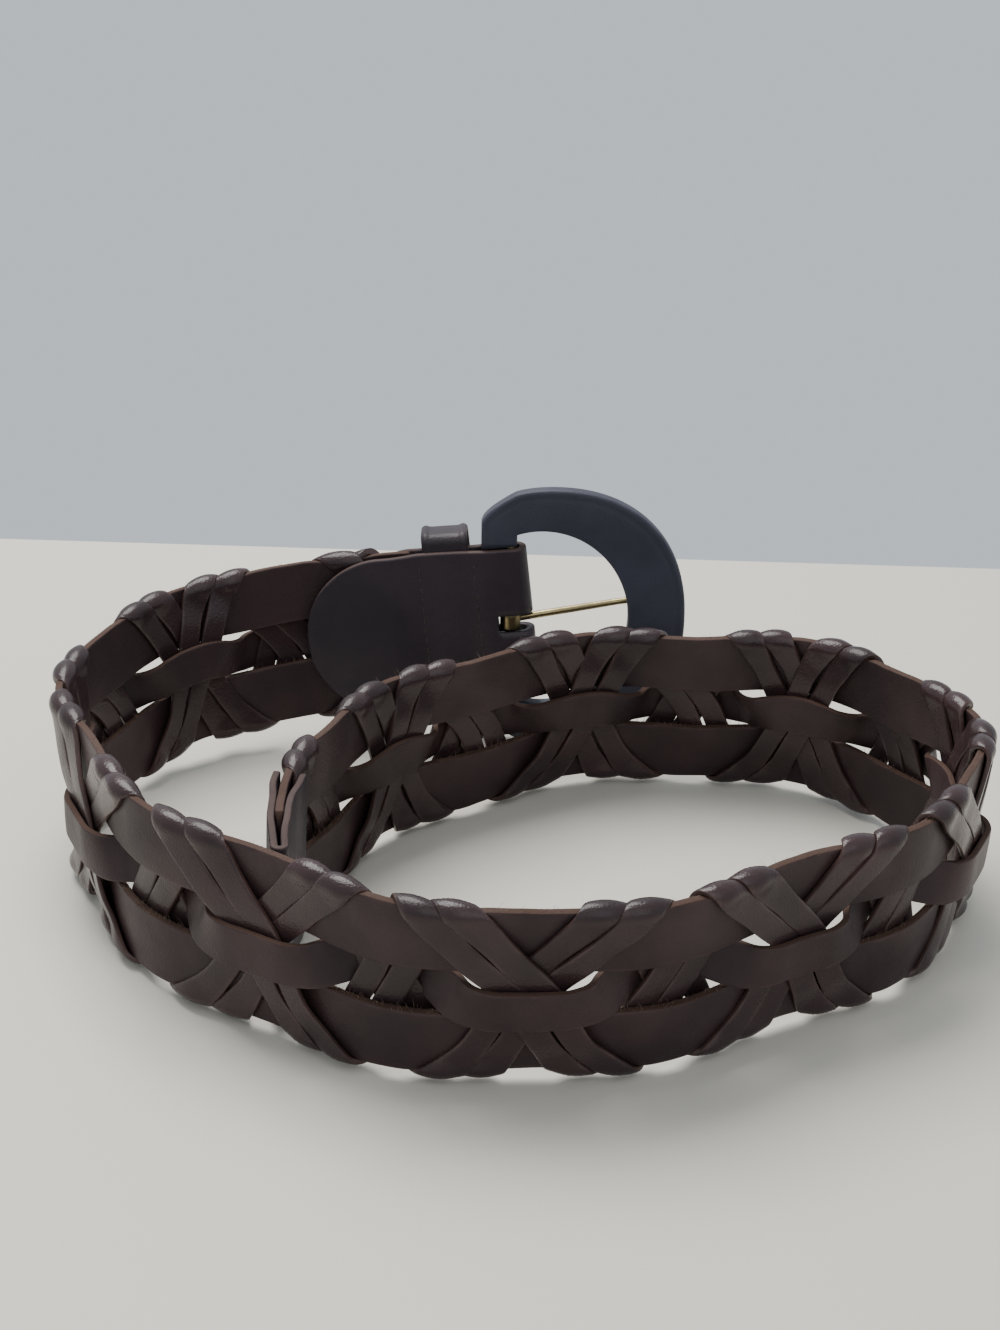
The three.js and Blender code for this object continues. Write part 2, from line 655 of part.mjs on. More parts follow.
function prongGeometry() {
  const height = place(BAR_BEHIND_FOLD, PRONG_HEIGHT, 0).z - frameHeight;
  const inner = BAR_RADIUS + GAP;
  const ring = new THREE.Shape();
  ring.absarc(0, 0, inner + CURL_THICK, 0, 2 * Math.PI, false);
  const hole = new THREE.Path();
  hole.absarc(0, 0, inner, 0, 2 * Math.PI, true);
  ring.holes.push(hole);
  const curl = new THREE.ExtrudeGeometry(ring, {
    depth: CURL_HEIGHT,
    bevelEnabled: false,
    curveSegments: BAR_SIDES,
  });
  curl.translate(0, 0, height - CURL_HEIGHT / 2);
  const restOut = FRAME_THICK / 2 + GAP + PRONG_RADIUS;
  const reach = OPENING_CENTRE + OPENING_HALF_LENGTH - PRONG_RESTS_BEFORE;
  const root = inner + CURL_THICK * PRONG_ROOT_IN_CURL;
  const rings = PRONG_STATIONS.map((share) => {
    const front = THREE.MathUtils.lerp(root, PRONG_LENGTH, share);
    const out = restOut * Math.min(1, (front - root) / (reach - root));
    const up = height + PRONG_RISE * share;
    const radius = THREE.MathUtils.lerp(PRONG_RADIUS, PRONG_TIP_RADIUS, share ** 3);
    return Array.from({ length: PRONG_SIDES }, (_, side) => {
      const angle = 2 * Math.PI * (side + 0.5) / PRONG_SIDES;
      return new THREE.Vector3(front, out + radius * Math.cos(angle), up + radius * Math.sin(angle));
    });
  });
  return geometryOf(solidOf(curl).add(solidOf(ringSolid(rings))));
}

// Assembly

function piece(name, geometry, colour, roughness, metalness = 0) {
  const material = new THREE.MeshStandardMaterial({ color: colour, roughness, metalness });
  const mesh = new THREE.Mesh(geometry, material);
  mesh.name = name;
  return mesh;
}

const straps = new THREE.Group();
straps.add(
  piece('top_band', bandGeometry(BELT_WIDTH - BAND_WIDTH), LEATHER, 0.5),
  piece('bottom_band', bandGeometry(0), LEATHER, 0.5),
  piece('middle_strap', middleGeometry(), LEATHER, 0.5),
  piece('thong_a1', thongGeometry(false, -1), LEATHER, 0.4),
  piece('thong_a2', thongGeometry(false, 1), LEATHER, 0.4),
  piece('thong_b1', thongGeometry(true, -1), LEATHER, 0.4),
  piece('thong_b2', thongGeometry(true, 1), LEATHER, 0.4),
  piece('end_cover', coverGeometry(), LEATHER, 0.5),
  piece('keeper_loop', keeperGeometry(), LEATHER, 0.5),
  piece('tip_tab', tabGeometry(), LEATHER, 0.5),
);

const buckle = new THREE.Group();
buckle.add(
  piece('buckle_frame', frameGeometry(), FRAME_LEATHER, 0.55),
  piece('buckle_prong', prongGeometry(), ANTIQUE_BRASS, 0.35, 1),
);
buckle.position.set(bar.x, bar.y, frameHeight);
buckle.rotation.z = planAt(BAR_BEHIND_FOLD).heading - Math.PI;

// The origin moves to the middle of the belt's box, on the surface.
const belt = new THREE.Group();
belt.add(straps, buckle);
const box = new THREE.Box3().setFromObject(belt, true);
const centre = box.getCenter(new THREE.Vector3());
belt.position.set(-centre.x, -centre.y, -box.min.z);

export default belt;
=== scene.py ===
"""Looks of a braided leather belt with a covered D-shaped buckle, standing on its edge in an open spiral.

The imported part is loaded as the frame. Each sub-assembly is a class that holds its sizes in millimetres,
works out its surfaces with numpy and dresses them. Meshes are written in metres, in the frame's own place.
"""

import logging
import math
from dataclasses import dataclass, field
from enum import Enum

import bpy
import numpy as np
from bpy.types import Material, Node, NodeSocket, NodeTree, Object
from mathutils import Matrix, Vector
from numpy.typing import NDArray


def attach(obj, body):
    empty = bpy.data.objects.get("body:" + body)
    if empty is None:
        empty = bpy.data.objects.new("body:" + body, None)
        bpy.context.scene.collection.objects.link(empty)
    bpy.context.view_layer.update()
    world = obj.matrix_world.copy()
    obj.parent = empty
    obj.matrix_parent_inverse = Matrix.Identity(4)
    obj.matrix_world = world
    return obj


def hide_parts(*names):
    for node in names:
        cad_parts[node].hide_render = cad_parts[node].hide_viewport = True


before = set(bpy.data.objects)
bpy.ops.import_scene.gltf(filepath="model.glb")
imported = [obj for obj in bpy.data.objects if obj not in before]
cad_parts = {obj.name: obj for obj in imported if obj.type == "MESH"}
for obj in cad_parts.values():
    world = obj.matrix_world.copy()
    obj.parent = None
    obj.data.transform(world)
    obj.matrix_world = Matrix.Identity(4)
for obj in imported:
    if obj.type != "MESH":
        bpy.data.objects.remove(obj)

Array = NDArray[np.float64]
Index = int | NDArray[np.int64]
Colour = tuple[float, float, float]
Inputs = dict[str | int, object]
METRES = 0.001
LEAST_LENGTH = 1e-12
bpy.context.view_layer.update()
BRASS_SLOT = "antique_brass"
FACES_APART = 40.0
FRONT, OUT, UP = np.eye(3)

log = logging.getLogger("belt")


class Body(Enum):
    """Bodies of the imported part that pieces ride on."""

    STRAP = "strap"
    FRAME = "frame"
    PRONG = "prong"


def smoothstep(value: Array, low: float, high: float) -> Array:
    """Rises from 0 at low to 1 at high as 3t^2 - 2t^3.

    Args:
        value: places to work it out at.
        low: value where it leaves 0.
        high: value where it reaches 1.

    Returns:
        The smooth step at each place.
    """
    share = np.clip((value - low) / (high - low), 0.0, 1.0)
    return share * share * (3.0 - 2.0 * share)


def unit(vectors: Array) -> Array:
    """Scales vectors in the last axis to length one."""
    return vectors / np.maximum(np.linalg.norm(vectors, axis=-1, keepdims=True), LEAST_LENGTH)


def through(knots: Array, values: Array, at: Array, keep_between: bool = False) -> Array:
    """Cubic curve through values at knots, with the slope at a knot from its two neighbours.

    Between two knots it is the Hermite cubic h00 a + h10 h ma + h01 b + h11 h mb, where h is the knots'
    distance, a and b the values and ma and mb the slopes. A slope is the mean of the chords' slopes on
    both sides, each weighted by the other chord's length.

    Args:
        knots: rising places of the values, n of them.
        values: n values, or n rows of values.
        at: places to work the curve out at.
        keep_between: whether slopes are cut down so that the curve never passes a knot's value.

    Returns:
        One value or row of values for each place.
    """
    rows = values.reshape(len(knots), -1)
    step = np.diff(knots)[:, None]
    chord = np.diff(rows, axis=0) / step
    slope = np.empty_like(rows)
    slope[0] = chord[0]
    slope[-1] = chord[-1]
    slope[1:-1] = (step[1:] * chord[:-1] + step[:-1] * chord[1:]) / (step[1:] + step[:-1])
    if keep_between:
        limit = 3.0 * np.minimum(np.abs(chord[:-1]), np.abs(chord[1:]))
        turning = chord[:-1] * chord[1:] <= 0.0
        inner = np.sign(slope[1:-1]) * np.minimum(np.abs(slope[1:-1]), limit)
        slope[1:-1] = np.where(turning, 0.0, inner)
    i = np.clip(np.searchsorted(knots, at, side="right") - 1, 0, len(knots) - 2)
    h = step[i]
    t = ((at - knots[i]) / step[i, 0])[:, None]
    curve = (
        (2 * t**3 - 3 * t**2 + 1) * rows[i]
        + (t**3 - 2 * t**2 + t) * h * slope[i]
        + (3 * t**2 - 2 * t**3) * rows[i + 1]
        + (t**3 - t**2) * h * slope[i + 1]
    )
    return curve.reshape((len(at),) + values.shape[1:])


@dataclass(frozen=True)
class Wander:
    """Slow uneven wander of hand-worked leather: its longest wave and its largest size, in mm.

    It is a sum of sines. Each is finer and smaller than the one before by the same factors, and together
    they seldom pass the reach where the first one's size is 1.
    """

    wave: float
    size: float
    sines: int = 4
    finer: float = 1.7
    smaller: float = 0.62
    reach: float = 1.9

    def at(self, along: Array, seed: int) -> Array:
        """Works it out with seeded phases.

        Args:
            along: distances in mm.
            seed: number that the phases come from.

        Returns:
            The wander at each distance, between about -size and size.
        """
        phase = np.random.default_rng(seed).uniform(0.0, 2.0 * math.pi, self.sines)
        i = np.arange(self.sines)
        angle = 2.0 * math.pi * np.asarray(along)[..., None] * self.finer**i / self.wave + phase
        return self.size * (np.sin(angle) * self.smaller**i).sum(axis=-1) / self.reach


WIDTH_WANDER = Wander(61.0, 0.02)


def stacked(*parts: Array | float) -> Array:
    """Puts coordinates, broadcast to one shape, into a new last axis."""
    return np.stack(np.broadcast_arrays(*parts), axis=-1)


def interpolated(at: Array, places: Array, rows: Array) -> Array:
    """Rows of values at some places, straight between the places where they are given."""
    return stacked(*(np.interp(at, places, column) for column in rows.T))


def lengths_along(line: Array) -> Array:
    """Distance along a line of points from its first one to each of them."""
    chords = np.linalg.norm(np.diff(line, axis=0), axis=1)
    return np.concatenate([[0.0], np.cumsum(chords)])


def closed_volume(points: Array, quads: NDArray[np.int64]) -> float:
    """Volume inside a closed surface of quads: a sixth of the sum of a . (b x c) over its triangles."""
    a, b, c, d = (points[quads[:, i]] for i in range(4))
    return float((a * np.cross(b, c)).sum() + (a * np.cross(c, d)).sum()) / 6.0


def tube_quads(rows: int, ring: int, looped: bool) -> NDArray[np.int64]:
    """Quads between neighbouring rings of a grid of points.

    Args:
        rows: number of rings.
        ring: points in a ring, which is closed on itself.
        looped: whether the last ring joins the first.

    Returns:
        Four point numbers for each quad.
    """
    spans = rows if looped else rows - 1
    i = np.arange(spans)[:, None]
    j = np.arange(ring)[None, :]
    here = i * ring
    there = ((i + 1) % rows) * ring
    after = (j + 1) % ring
    return np.stack([here + j, here + after, there + after, there + j], axis=-1).reshape(-1, 4)


@dataclass
class Surface:
    """A surface ready for a mesh: points in mm, faces, and masks and leather places for each point."""

    points: Array
    quads: NDArray[np.int64]
    triangles: NDArray[np.int64]
    masks: dict[str, Array] = field(default_factory=dict)
    uv: Array | None = None


def tube(
    grid: Array,
    masks: dict[str, Array] | None = None,
    uv: Array | None = None,
    looped: bool = False,
) -> Surface:
    """Surface through rings of points, its ends closed by fans round the middle of the end rings.

    Args:
        grid: points in mm with the ring, the place in it and x, y, z as axes.
        masks: values for each point of the grid.
        uv: leather places for each point of the grid.
        looped: whether the last ring joins the first.

    Returns:
        The surface.
    """
    rows, ring = grid.shape[:2]
    quads = tube_quads(rows, ring, looped)
    points = grid.reshape(-1, 3)
    named = {name: values.reshape(-1) for name, values in (masks or {}).items()}
    flat_uv = None if uv is None else uv.reshape(-1, 2)
    if looped:
        return Surface(points, quads, np.empty((0, 3), dtype=np.int64), named, flat_uv)
    j = np.arange(ring)
    after = (j + 1) % ring
    last = (rows - 1) * ring
    pole = np.full(ring, rows * ring)
    triangles = np.concatenate([
        np.stack([after, j, pole], axis=-1),
        np.stack([last + j, last + after, pole + 1], axis=-1),
    ])
    ends = [0, rows - 1]
    points = np.concatenate([points, grid[ends].mean(axis=1)])
    named = {
        name: np.concatenate([values, values.reshape(rows, ring)[ends].mean(axis=1)])
        for name, values in named.items()
    }
    if flat_uv is not None:
        flat_uv = np.concatenate([flat_uv, uv[ends].mean(axis=1)])
    return Surface(points, quads, triangles, named, flat_uv)


def joined(surfaces: list[Surface]) -> Surface:
    """Puts several surfaces into one.

    Args:
        surfaces: the surfaces, which have no masks and no leather places.

    Returns:
        The surface.
    """
    starts = np.cumsum([0] + [len(s.points) for s in surfaces[:-1]])
    return Surface(
        np.concatenate([s.points for s in surfaces]),
        np.concatenate([s.quads + start for s, start in zip(surfaces, starts)]),
        np.concatenate([s.triangles + start for s, start in zip(surfaces, starts)]),
    )


def make_mesh(name: str, surface: Surface) -> Object:
    """Puts a closed surface into a new object at the origin, its faces outwards.

    Args:
        name: name of the object.
        surface: the surface, in mm.

    Returns:
        The object, linked to the scene.
    """
    quads, triangles, points = surface.quads, surface.triangles, surface.points
    if closed_volume(points, quads) < 0.0:
        quads = quads[:, ::-1]
        triangles = triangles[:, ::-1]
    corners = np.concatenate([quads.ravel(), triangles.ravel()])
    sides = np.concatenate([np.full(len(quads), 4), np.full(len(triangles), 3)]).astype(np.int32)
    mesh = bpy.data.meshes.new(name)
    mesh.vertices.add(len(points))
    mesh.vertices.foreach_set("co", (points * METRES).astype(np.float32).ravel())
    mesh.loops.add(len(corners))
    mesh.loops.foreach_set("vertex_index", corners.astype(np.int32))
    mesh.polygons.add(len(sides))
    mesh.polygons.foreach_set("loop_start", (np.cumsum(sides) - sides).astype(np.int32))
    mesh.polygons.foreach_set("loop_total", sides)
    mesh.polygons.foreach_set("use_smooth", np.ones(len(sides), dtype=bool))
    mesh.update(calc_edges=True)
    for mask, values in surface.masks.items():
        mesh.attributes.new(mask, "FLOAT", "POINT").data.foreach_set("value", values.astype(np.float32))
    if surface.uv is not None:
        layer = mesh.uv_layers.new(name="leather")
        layer.data.foreach_set("uv", (surface.uv[corners] * METRES).astype(np.float32).ravel())
    mesh.validate()
    piece = bpy.data.objects.new(name, mesh)
    bpy.context.scene.collection.objects.link(piece)
    return piece


@dataclass(frozen=True)
class Ring:
    """Points round a section: the outer face from its low to its high edge, then the inner face back.

    across goes from -1 to 1 of half the width and inset is the distance in mm from there. height is the
    place through the thickness in mm, and cut and rim are the masks of the cut edges and of the rims.
    """

    across: Array
    inset: Array
    height: Array
    cut: Array
    rim: Array

    @property
    def outer(self) -> NDArray[np.bool_]:
        """Which points are on the outer face."""
        return np.arange(len(self.across)) < len(self.across) // 2

    def spread(self, half: Array | float) -> Array:
        """Places across in mm, where half is half the width."""
        return np.sign(self.across) * (np.abs(self.across) * half - self.inset)

    def skin(self, points: Array, run: Array, a: Array, apart: float = 0.0, looped: bool = False) -> Surface:
        """Surface of a strip that has this section.

        Args:
            points: points in mm for each station and each place in the ring.
            run: distance along the leather of each station.
            a: places across in mm.
            apart: how far the leather places of the inner face are from those of the outer one.
            looped: whether the last station joins the first.

        Returns:
            The surface, with its cut and rim masks and its leather places.
        """
        face = np.where(self.outer, 0.0, apart)
        uv = stacked(run[:, None], a + face)
        masks = {"cut": np.broadcast_to(self.cut, a.shape), "rim": np.broadcast_to(self.rim, a.shape)}
        return tube(points, masks, uv, looped)


@dataclass(frozen=True)
class Section:
    """Section of cut leather: a flat strip with rounded corners and slightly crowned faces, in mm."""

    width: float
    thick: float
    corner: float = 0.4
    crown: float = 0.12
    face_steps: int = 10
    corner_steps: int = 3
    rim_width: float = 1.1

    def ring(self) -> Ring:
        """Goes round the section.

        A face is n = t/2 + crown (1 - a^2), and a corner is a quarter of a circle of radius r, which is
        inset by r (1 - cos) and stands r sin above t/2 - r.

        Returns:
            The points.
        """
        r = self.corner
        stops = np.linspace(0.0, math.pi, self.face_steps + 1)[1:-1]
        face = -np.cos(stops) * (1.0 - 2.0 * r / self.width)
        angle = np.linspace(0.0, math.pi / 2, self.corner_steps + 1)
        edge = np.ones(len(angle))
        flat = np.zeros(len(face))
        inset = r * (1.0 - np.cos(angle))
        corner = self.thick / 2 - r + r * np.sin(angle)
        cut = np.cos(angle) ** 2
        from_edge = self.width / 2 * (1.0 - np.abs(face))
        near_edge = np.clip(1.0 - from_edge / self.rim_width, 0.0, 1.0)
        across = np.concatenate([-edge, face, edge])
        insets = np.concatenate([inset, flat, inset[::-1]])
        height = np.concatenate([corner, self.thick / 2 + self.crown * (1.0 - face**2), corner[::-1]])
        cuts = np.concatenate([cut, flat, cut[::-1]])
        rims = np.concatenate([edge, near_edge, edge])
        return Ring(
            np.concatenate([across, across[::-1]]),
            np.concatenate([insets, insets[::-1]]),
            np.concatenate([height, -height[::-1]]),
            np.concatenate([cuts, cuts[::-1]]),
            np.concatenate([rims, rims[::-1]]),
        )


@dataclass
class Strand:
    """A strip of leather carried along a line: everything that the surface needs at each station."""

    centre: Array
    across: Array
    normal: Array
    along: Array
    width: Array
    lift: Array


@dataclass(frozen=True)
class LayRow:
    """One repeat of the braid, with its length in mm.

    bend per 100 mm and lean are in degrees at its start, and shift is how far the strands have slipped
    along the belt there.
    """

    length: float
    bend: float
    lean: float
    shift: float = 0.0


@dataclass
class BeltLay:
    """How the belt lies: its plan on the surface, its lean, its lift at the buckle and the braid's push."""

    rows: tuple[LayRow, ...] = (
        LayRow(80, -18, 0),
        LayRow(66, 52, 6),
        LayRow(72, 96, 5),
        LayRow(86, 45, 0),
        LayRow(71, 36, 1, -3.4),
        LayRow(70, 65, 10, -3.8),
        LayRow(69, 4, 7, -1.2),
        LayRow(67, 95, 4),
        LayRow(71, 89, -3),
        LayRow(74, 58, -9),
        LayRow(67, 43, -6),
        LayRow(66, 56, -2),
        LayRow(5, 34, -2),
    )
    end_bend: float = 33.0
    end_lean: float = -2.0
    heading: float = 181.7
    first_repeat: int = -4
    repeat: float = 72.0
    lift: float = 14.3
    lift_span: float = 190.0
    lift_power: float = 1.5
    push: float = 2.0
    push_grows: tuple[float, float] = (-3.05, -2.6)
    push_fades: tuple[float, float] = (7.02, 7.4)
    origin: tuple[float, float, float] = (9.262264, 95.416345, 4.555402)
    starts: Array = field(init=False)
    plan: Array = field(init=False)

    def __post_init__(self) -> None:
        """Walks the plan in steps of one millimetre from the fold to the free end."""
        lengths = np.array([row.length for row in self.rows])
        self.starts = np.concatenate([[0.0], np.cumsum(lengths)])
        steps = np.arange(int(self.starts[-1]) + 2)
        turn = self.bend_at(steps + 0.5)
        heading = math.radians(self.heading) + np.concatenate([[0.0], np.cumsum(turn)])
        middle = heading[:-1] + self.bend_at(steps + 0.25) / 2
        x = np.concatenate([[0.0], np.cumsum(np.cos(middle))])
        y = np.concatenate([[0.0], np.cumsum(np.sin(middle))])
        self.plan = np.stack([x, y, heading])

    def bend_at(self, distance: Array) -> Array:
        """Bend in radians per mm at distances from the fold, straight between the rows."""
        bends = np.array([row.bend for row in self.rows] + [self.end_bend])
        return np.radians(np.interp(distance, self.starts, bends)) / 100.0

    def lean_at(self, distance: Array) -> Array:
        """Outward lean of the belt, a smooth step between the rows.

        Args:
            distance: distances from the fold in mm.

        Returns:
            The lean in radians at each distance.
        """
        leans = np.radians(np.array([row.lean for row in self.rows] + [self.end_lean]))
        i = np.clip(np.searchsorted(self.starts, distance, side="right") - 1, 0, len(self.rows) - 1)
        share = smoothstep((distance - self.starts[i]) / np.diff(self.starts)[i], 0.0, 1.0)
        return leans[i] + (leans[i + 1] - leans[i]) * share

    def distance_of(self, repeats: Array) -> Array:
        """Distance from the fold of places in the braid, counted in repeats."""
        counted = self.first_repeat + np.arange(len(self.rows))
        return np.interp(repeats, counted, self.starts[:-1] + np.array([row.shift for row in self.rows]))

    def repeat_of(self, distance: Array) -> Array:
        """Place in the braid, counted in repeats, at distances from the fold."""
        counted = self.first_repeat + np.arange(len(self.rows) + 1)
        return np.interp(distance, self.starts, counted)

    def place(self, distance: Array, up: Array, out: Array) -> Array:
        """Points of the belt: P(s) + lift Z + up U + out F.

        U is the upright, tilted back by the slope of the lift and out by the lean, and F the belt's outward
        normal, tilted with it.

        Args:
            distance: distances from the fold in mm.
            up: heights on the belt in mm.
            out: distances outwards from the middle plane in mm.

        Returns:
            Points in mm in the frame, with x, y and z in the last axis.
        """
        distance, up, out = np.broadcast_arrays(distance, up, out)
        steps = np.arange(self.plan.shape[1])
        x = np.interp(distance, steps, self.plan[0])
        y = np.interp(distance, steps, self.plan[1])
        heading = np.interp(distance, steps, self.plan[2])
        x = x + np.minimum(distance, 0.0) * math.cos(self.plan[2, 0])
        y = y + np.minimum(distance, 0.0) * math.sin(self.plan[2, 0])
        rest = np.clip((self.lift_span - distance) / self.lift_span, 0.0, 2.0)
        height = self.lift * rest**self.lift_power
        slope = np.arctan(self.lift * self.lift_power * rest ** (self.lift_power - 1.0) / self.lift_span)
        lean = self.lean_at(distance)
        tangent = stacked(np.cos(heading), np.sin(heading), 0.0)
        outward = stacked(np.sin(heading), -np.cos(heading), 0.0)
        upright = np.sin(slope)[..., None] * tangent + np.cos(slope)[..., None] * np.array([0.0, 0.0, 1.0])
        across = np.cos(lean)[..., None] * upright + np.sin(lean)[..., None] * outward
        facing = np.cos(lean)[..., None] * outward - np.sin(lean)[..., None] * upright
        base = stacked(x, y, height) + np.array(self.origin)
        return base + up[..., None] * across + out[..., None] * facing

    def lay_flat(self, flat: Array) -> Array:
        """Lays the flat braid, with repeats of one length, along the belt.

        Args:
            flat: points with their place along, height and distance outwards in mm in the last axis.

        Returns:
            Points in mm in the frame. The braid's push -p g (1 - f) cos(2 pi k) is added outwards, where
            k counts repeats, and g and f are the smooth steps over which it grows and fades.
        """
        k = flat[..., 0] / self.repeat
        grown = smoothstep(k, *self.push_grows)
        faded = smoothstep(k, *self.push_fades)
        push = -self.push * grown * (1.0 - faded) * np.cos(2.0 * math.pi * k)
        return self.place(self.distance_of(k), flat[..., 1], flat[..., 2] + push)


class BeltPiece:
    """What the sub-assemblies share: making a piece and giving it its finish, body and nodes."""

    def add_piece(
        self,
        name: str,
        surface: Surface,
        material: Material,
        body: Body,
        slot: str,
        *nodes: str,
    ) -> None:
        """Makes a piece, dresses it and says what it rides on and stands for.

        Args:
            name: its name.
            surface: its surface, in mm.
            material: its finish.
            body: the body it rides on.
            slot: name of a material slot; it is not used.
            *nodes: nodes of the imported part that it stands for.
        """
        piece = make_mesh(name, surface)
        piece.data.materials.append(material)
        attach(piece, body.value)
        if nodes:
            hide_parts(*nodes)
        log.info("%s: %d faces", piece.name, len(piece.data.polygons))


def carry_section(lay: BeltLay, strand: Strand, section: Section, seed: int) -> Surface:
    """Carries a section along a flat braid line and lays it on the belt.

    A point is C(i) + a(j) w(i) A(i) + (n(j) + l(i)) N(i), where C is the centre line, A the direction
    across, N the outward normal, w half the width and l a lift that lets the leather puff up.

    Args:
        lay: how the belt lies.
        strand: the line and its directions.
        section: the leather's section.
        seed: number for the wander of its width.

    Returns:
        The surface, with its cut and rim masks and its leather places.
    """
    ring = section.ring()
    half = strand.width[:, None] / 2 * (1.0 + WIDTH_WANDER.at(strand.along, seed)[:, None])
    a = ring.spread(half)
    n = ring.height + strand.lift[:, None] * np.clip(1.0 - ring.across**2, 0.0, 1.0)
    flat = (
        strand.centre[:, None, :]
        + a[..., None] * strand.across[:, None, :]
        + n[..., None] * strand.normal[:, None, :]
    )
    return ring.skin(lay.lay_flat(flat), strand.along, a, FACES_APART)


def strand_along(points: Array, outwards: Array, width: float, step: float) -> Strand:
    """Smooth line through the points of a strand, with its directions.

    The curve's parameter is the length of the chords. The tangent is its derivative, across is the outward
    direction crossed with it, and the normal is the tangent crossed with across.

    Args:
        points: places along, up and out in mm.
        outwards: direction that the leather's outer face looks in at each of them.
        width: width of the leather in mm.
        step: distance between stations in mm.

    Returns:
        The strand.
    """
    lengths = lengths_along(points)
    along = np.linspace(0.0, lengths[-1], int(lengths[-1] / step) + 1)
    centre = through(lengths, points, along)
    centre[:, 2] = through(lengths, points[:, 2], along, keep_between=True)
    outward = unit(through(lengths, outwards, along, keep_between=True))
    tangent = unit(np.gradient(centre, along, axis=0))
    across = unit(np.cross(outward, tangent))
    normal = np.cross(tangent, across)
    return Strand(centre, across, normal, along, np.full(len(along), width), np.zeros(len(along)))


@dataclass(frozen=True)
class WeaveRow:
    """One place of the middle strap over a crossing.

    along is the distance from the crossing, out and up are the place of its middle line in mm, and turn
    is how far its face looks up, in degrees.
    """

    along: float
    out: float
    up: float
    turn: float


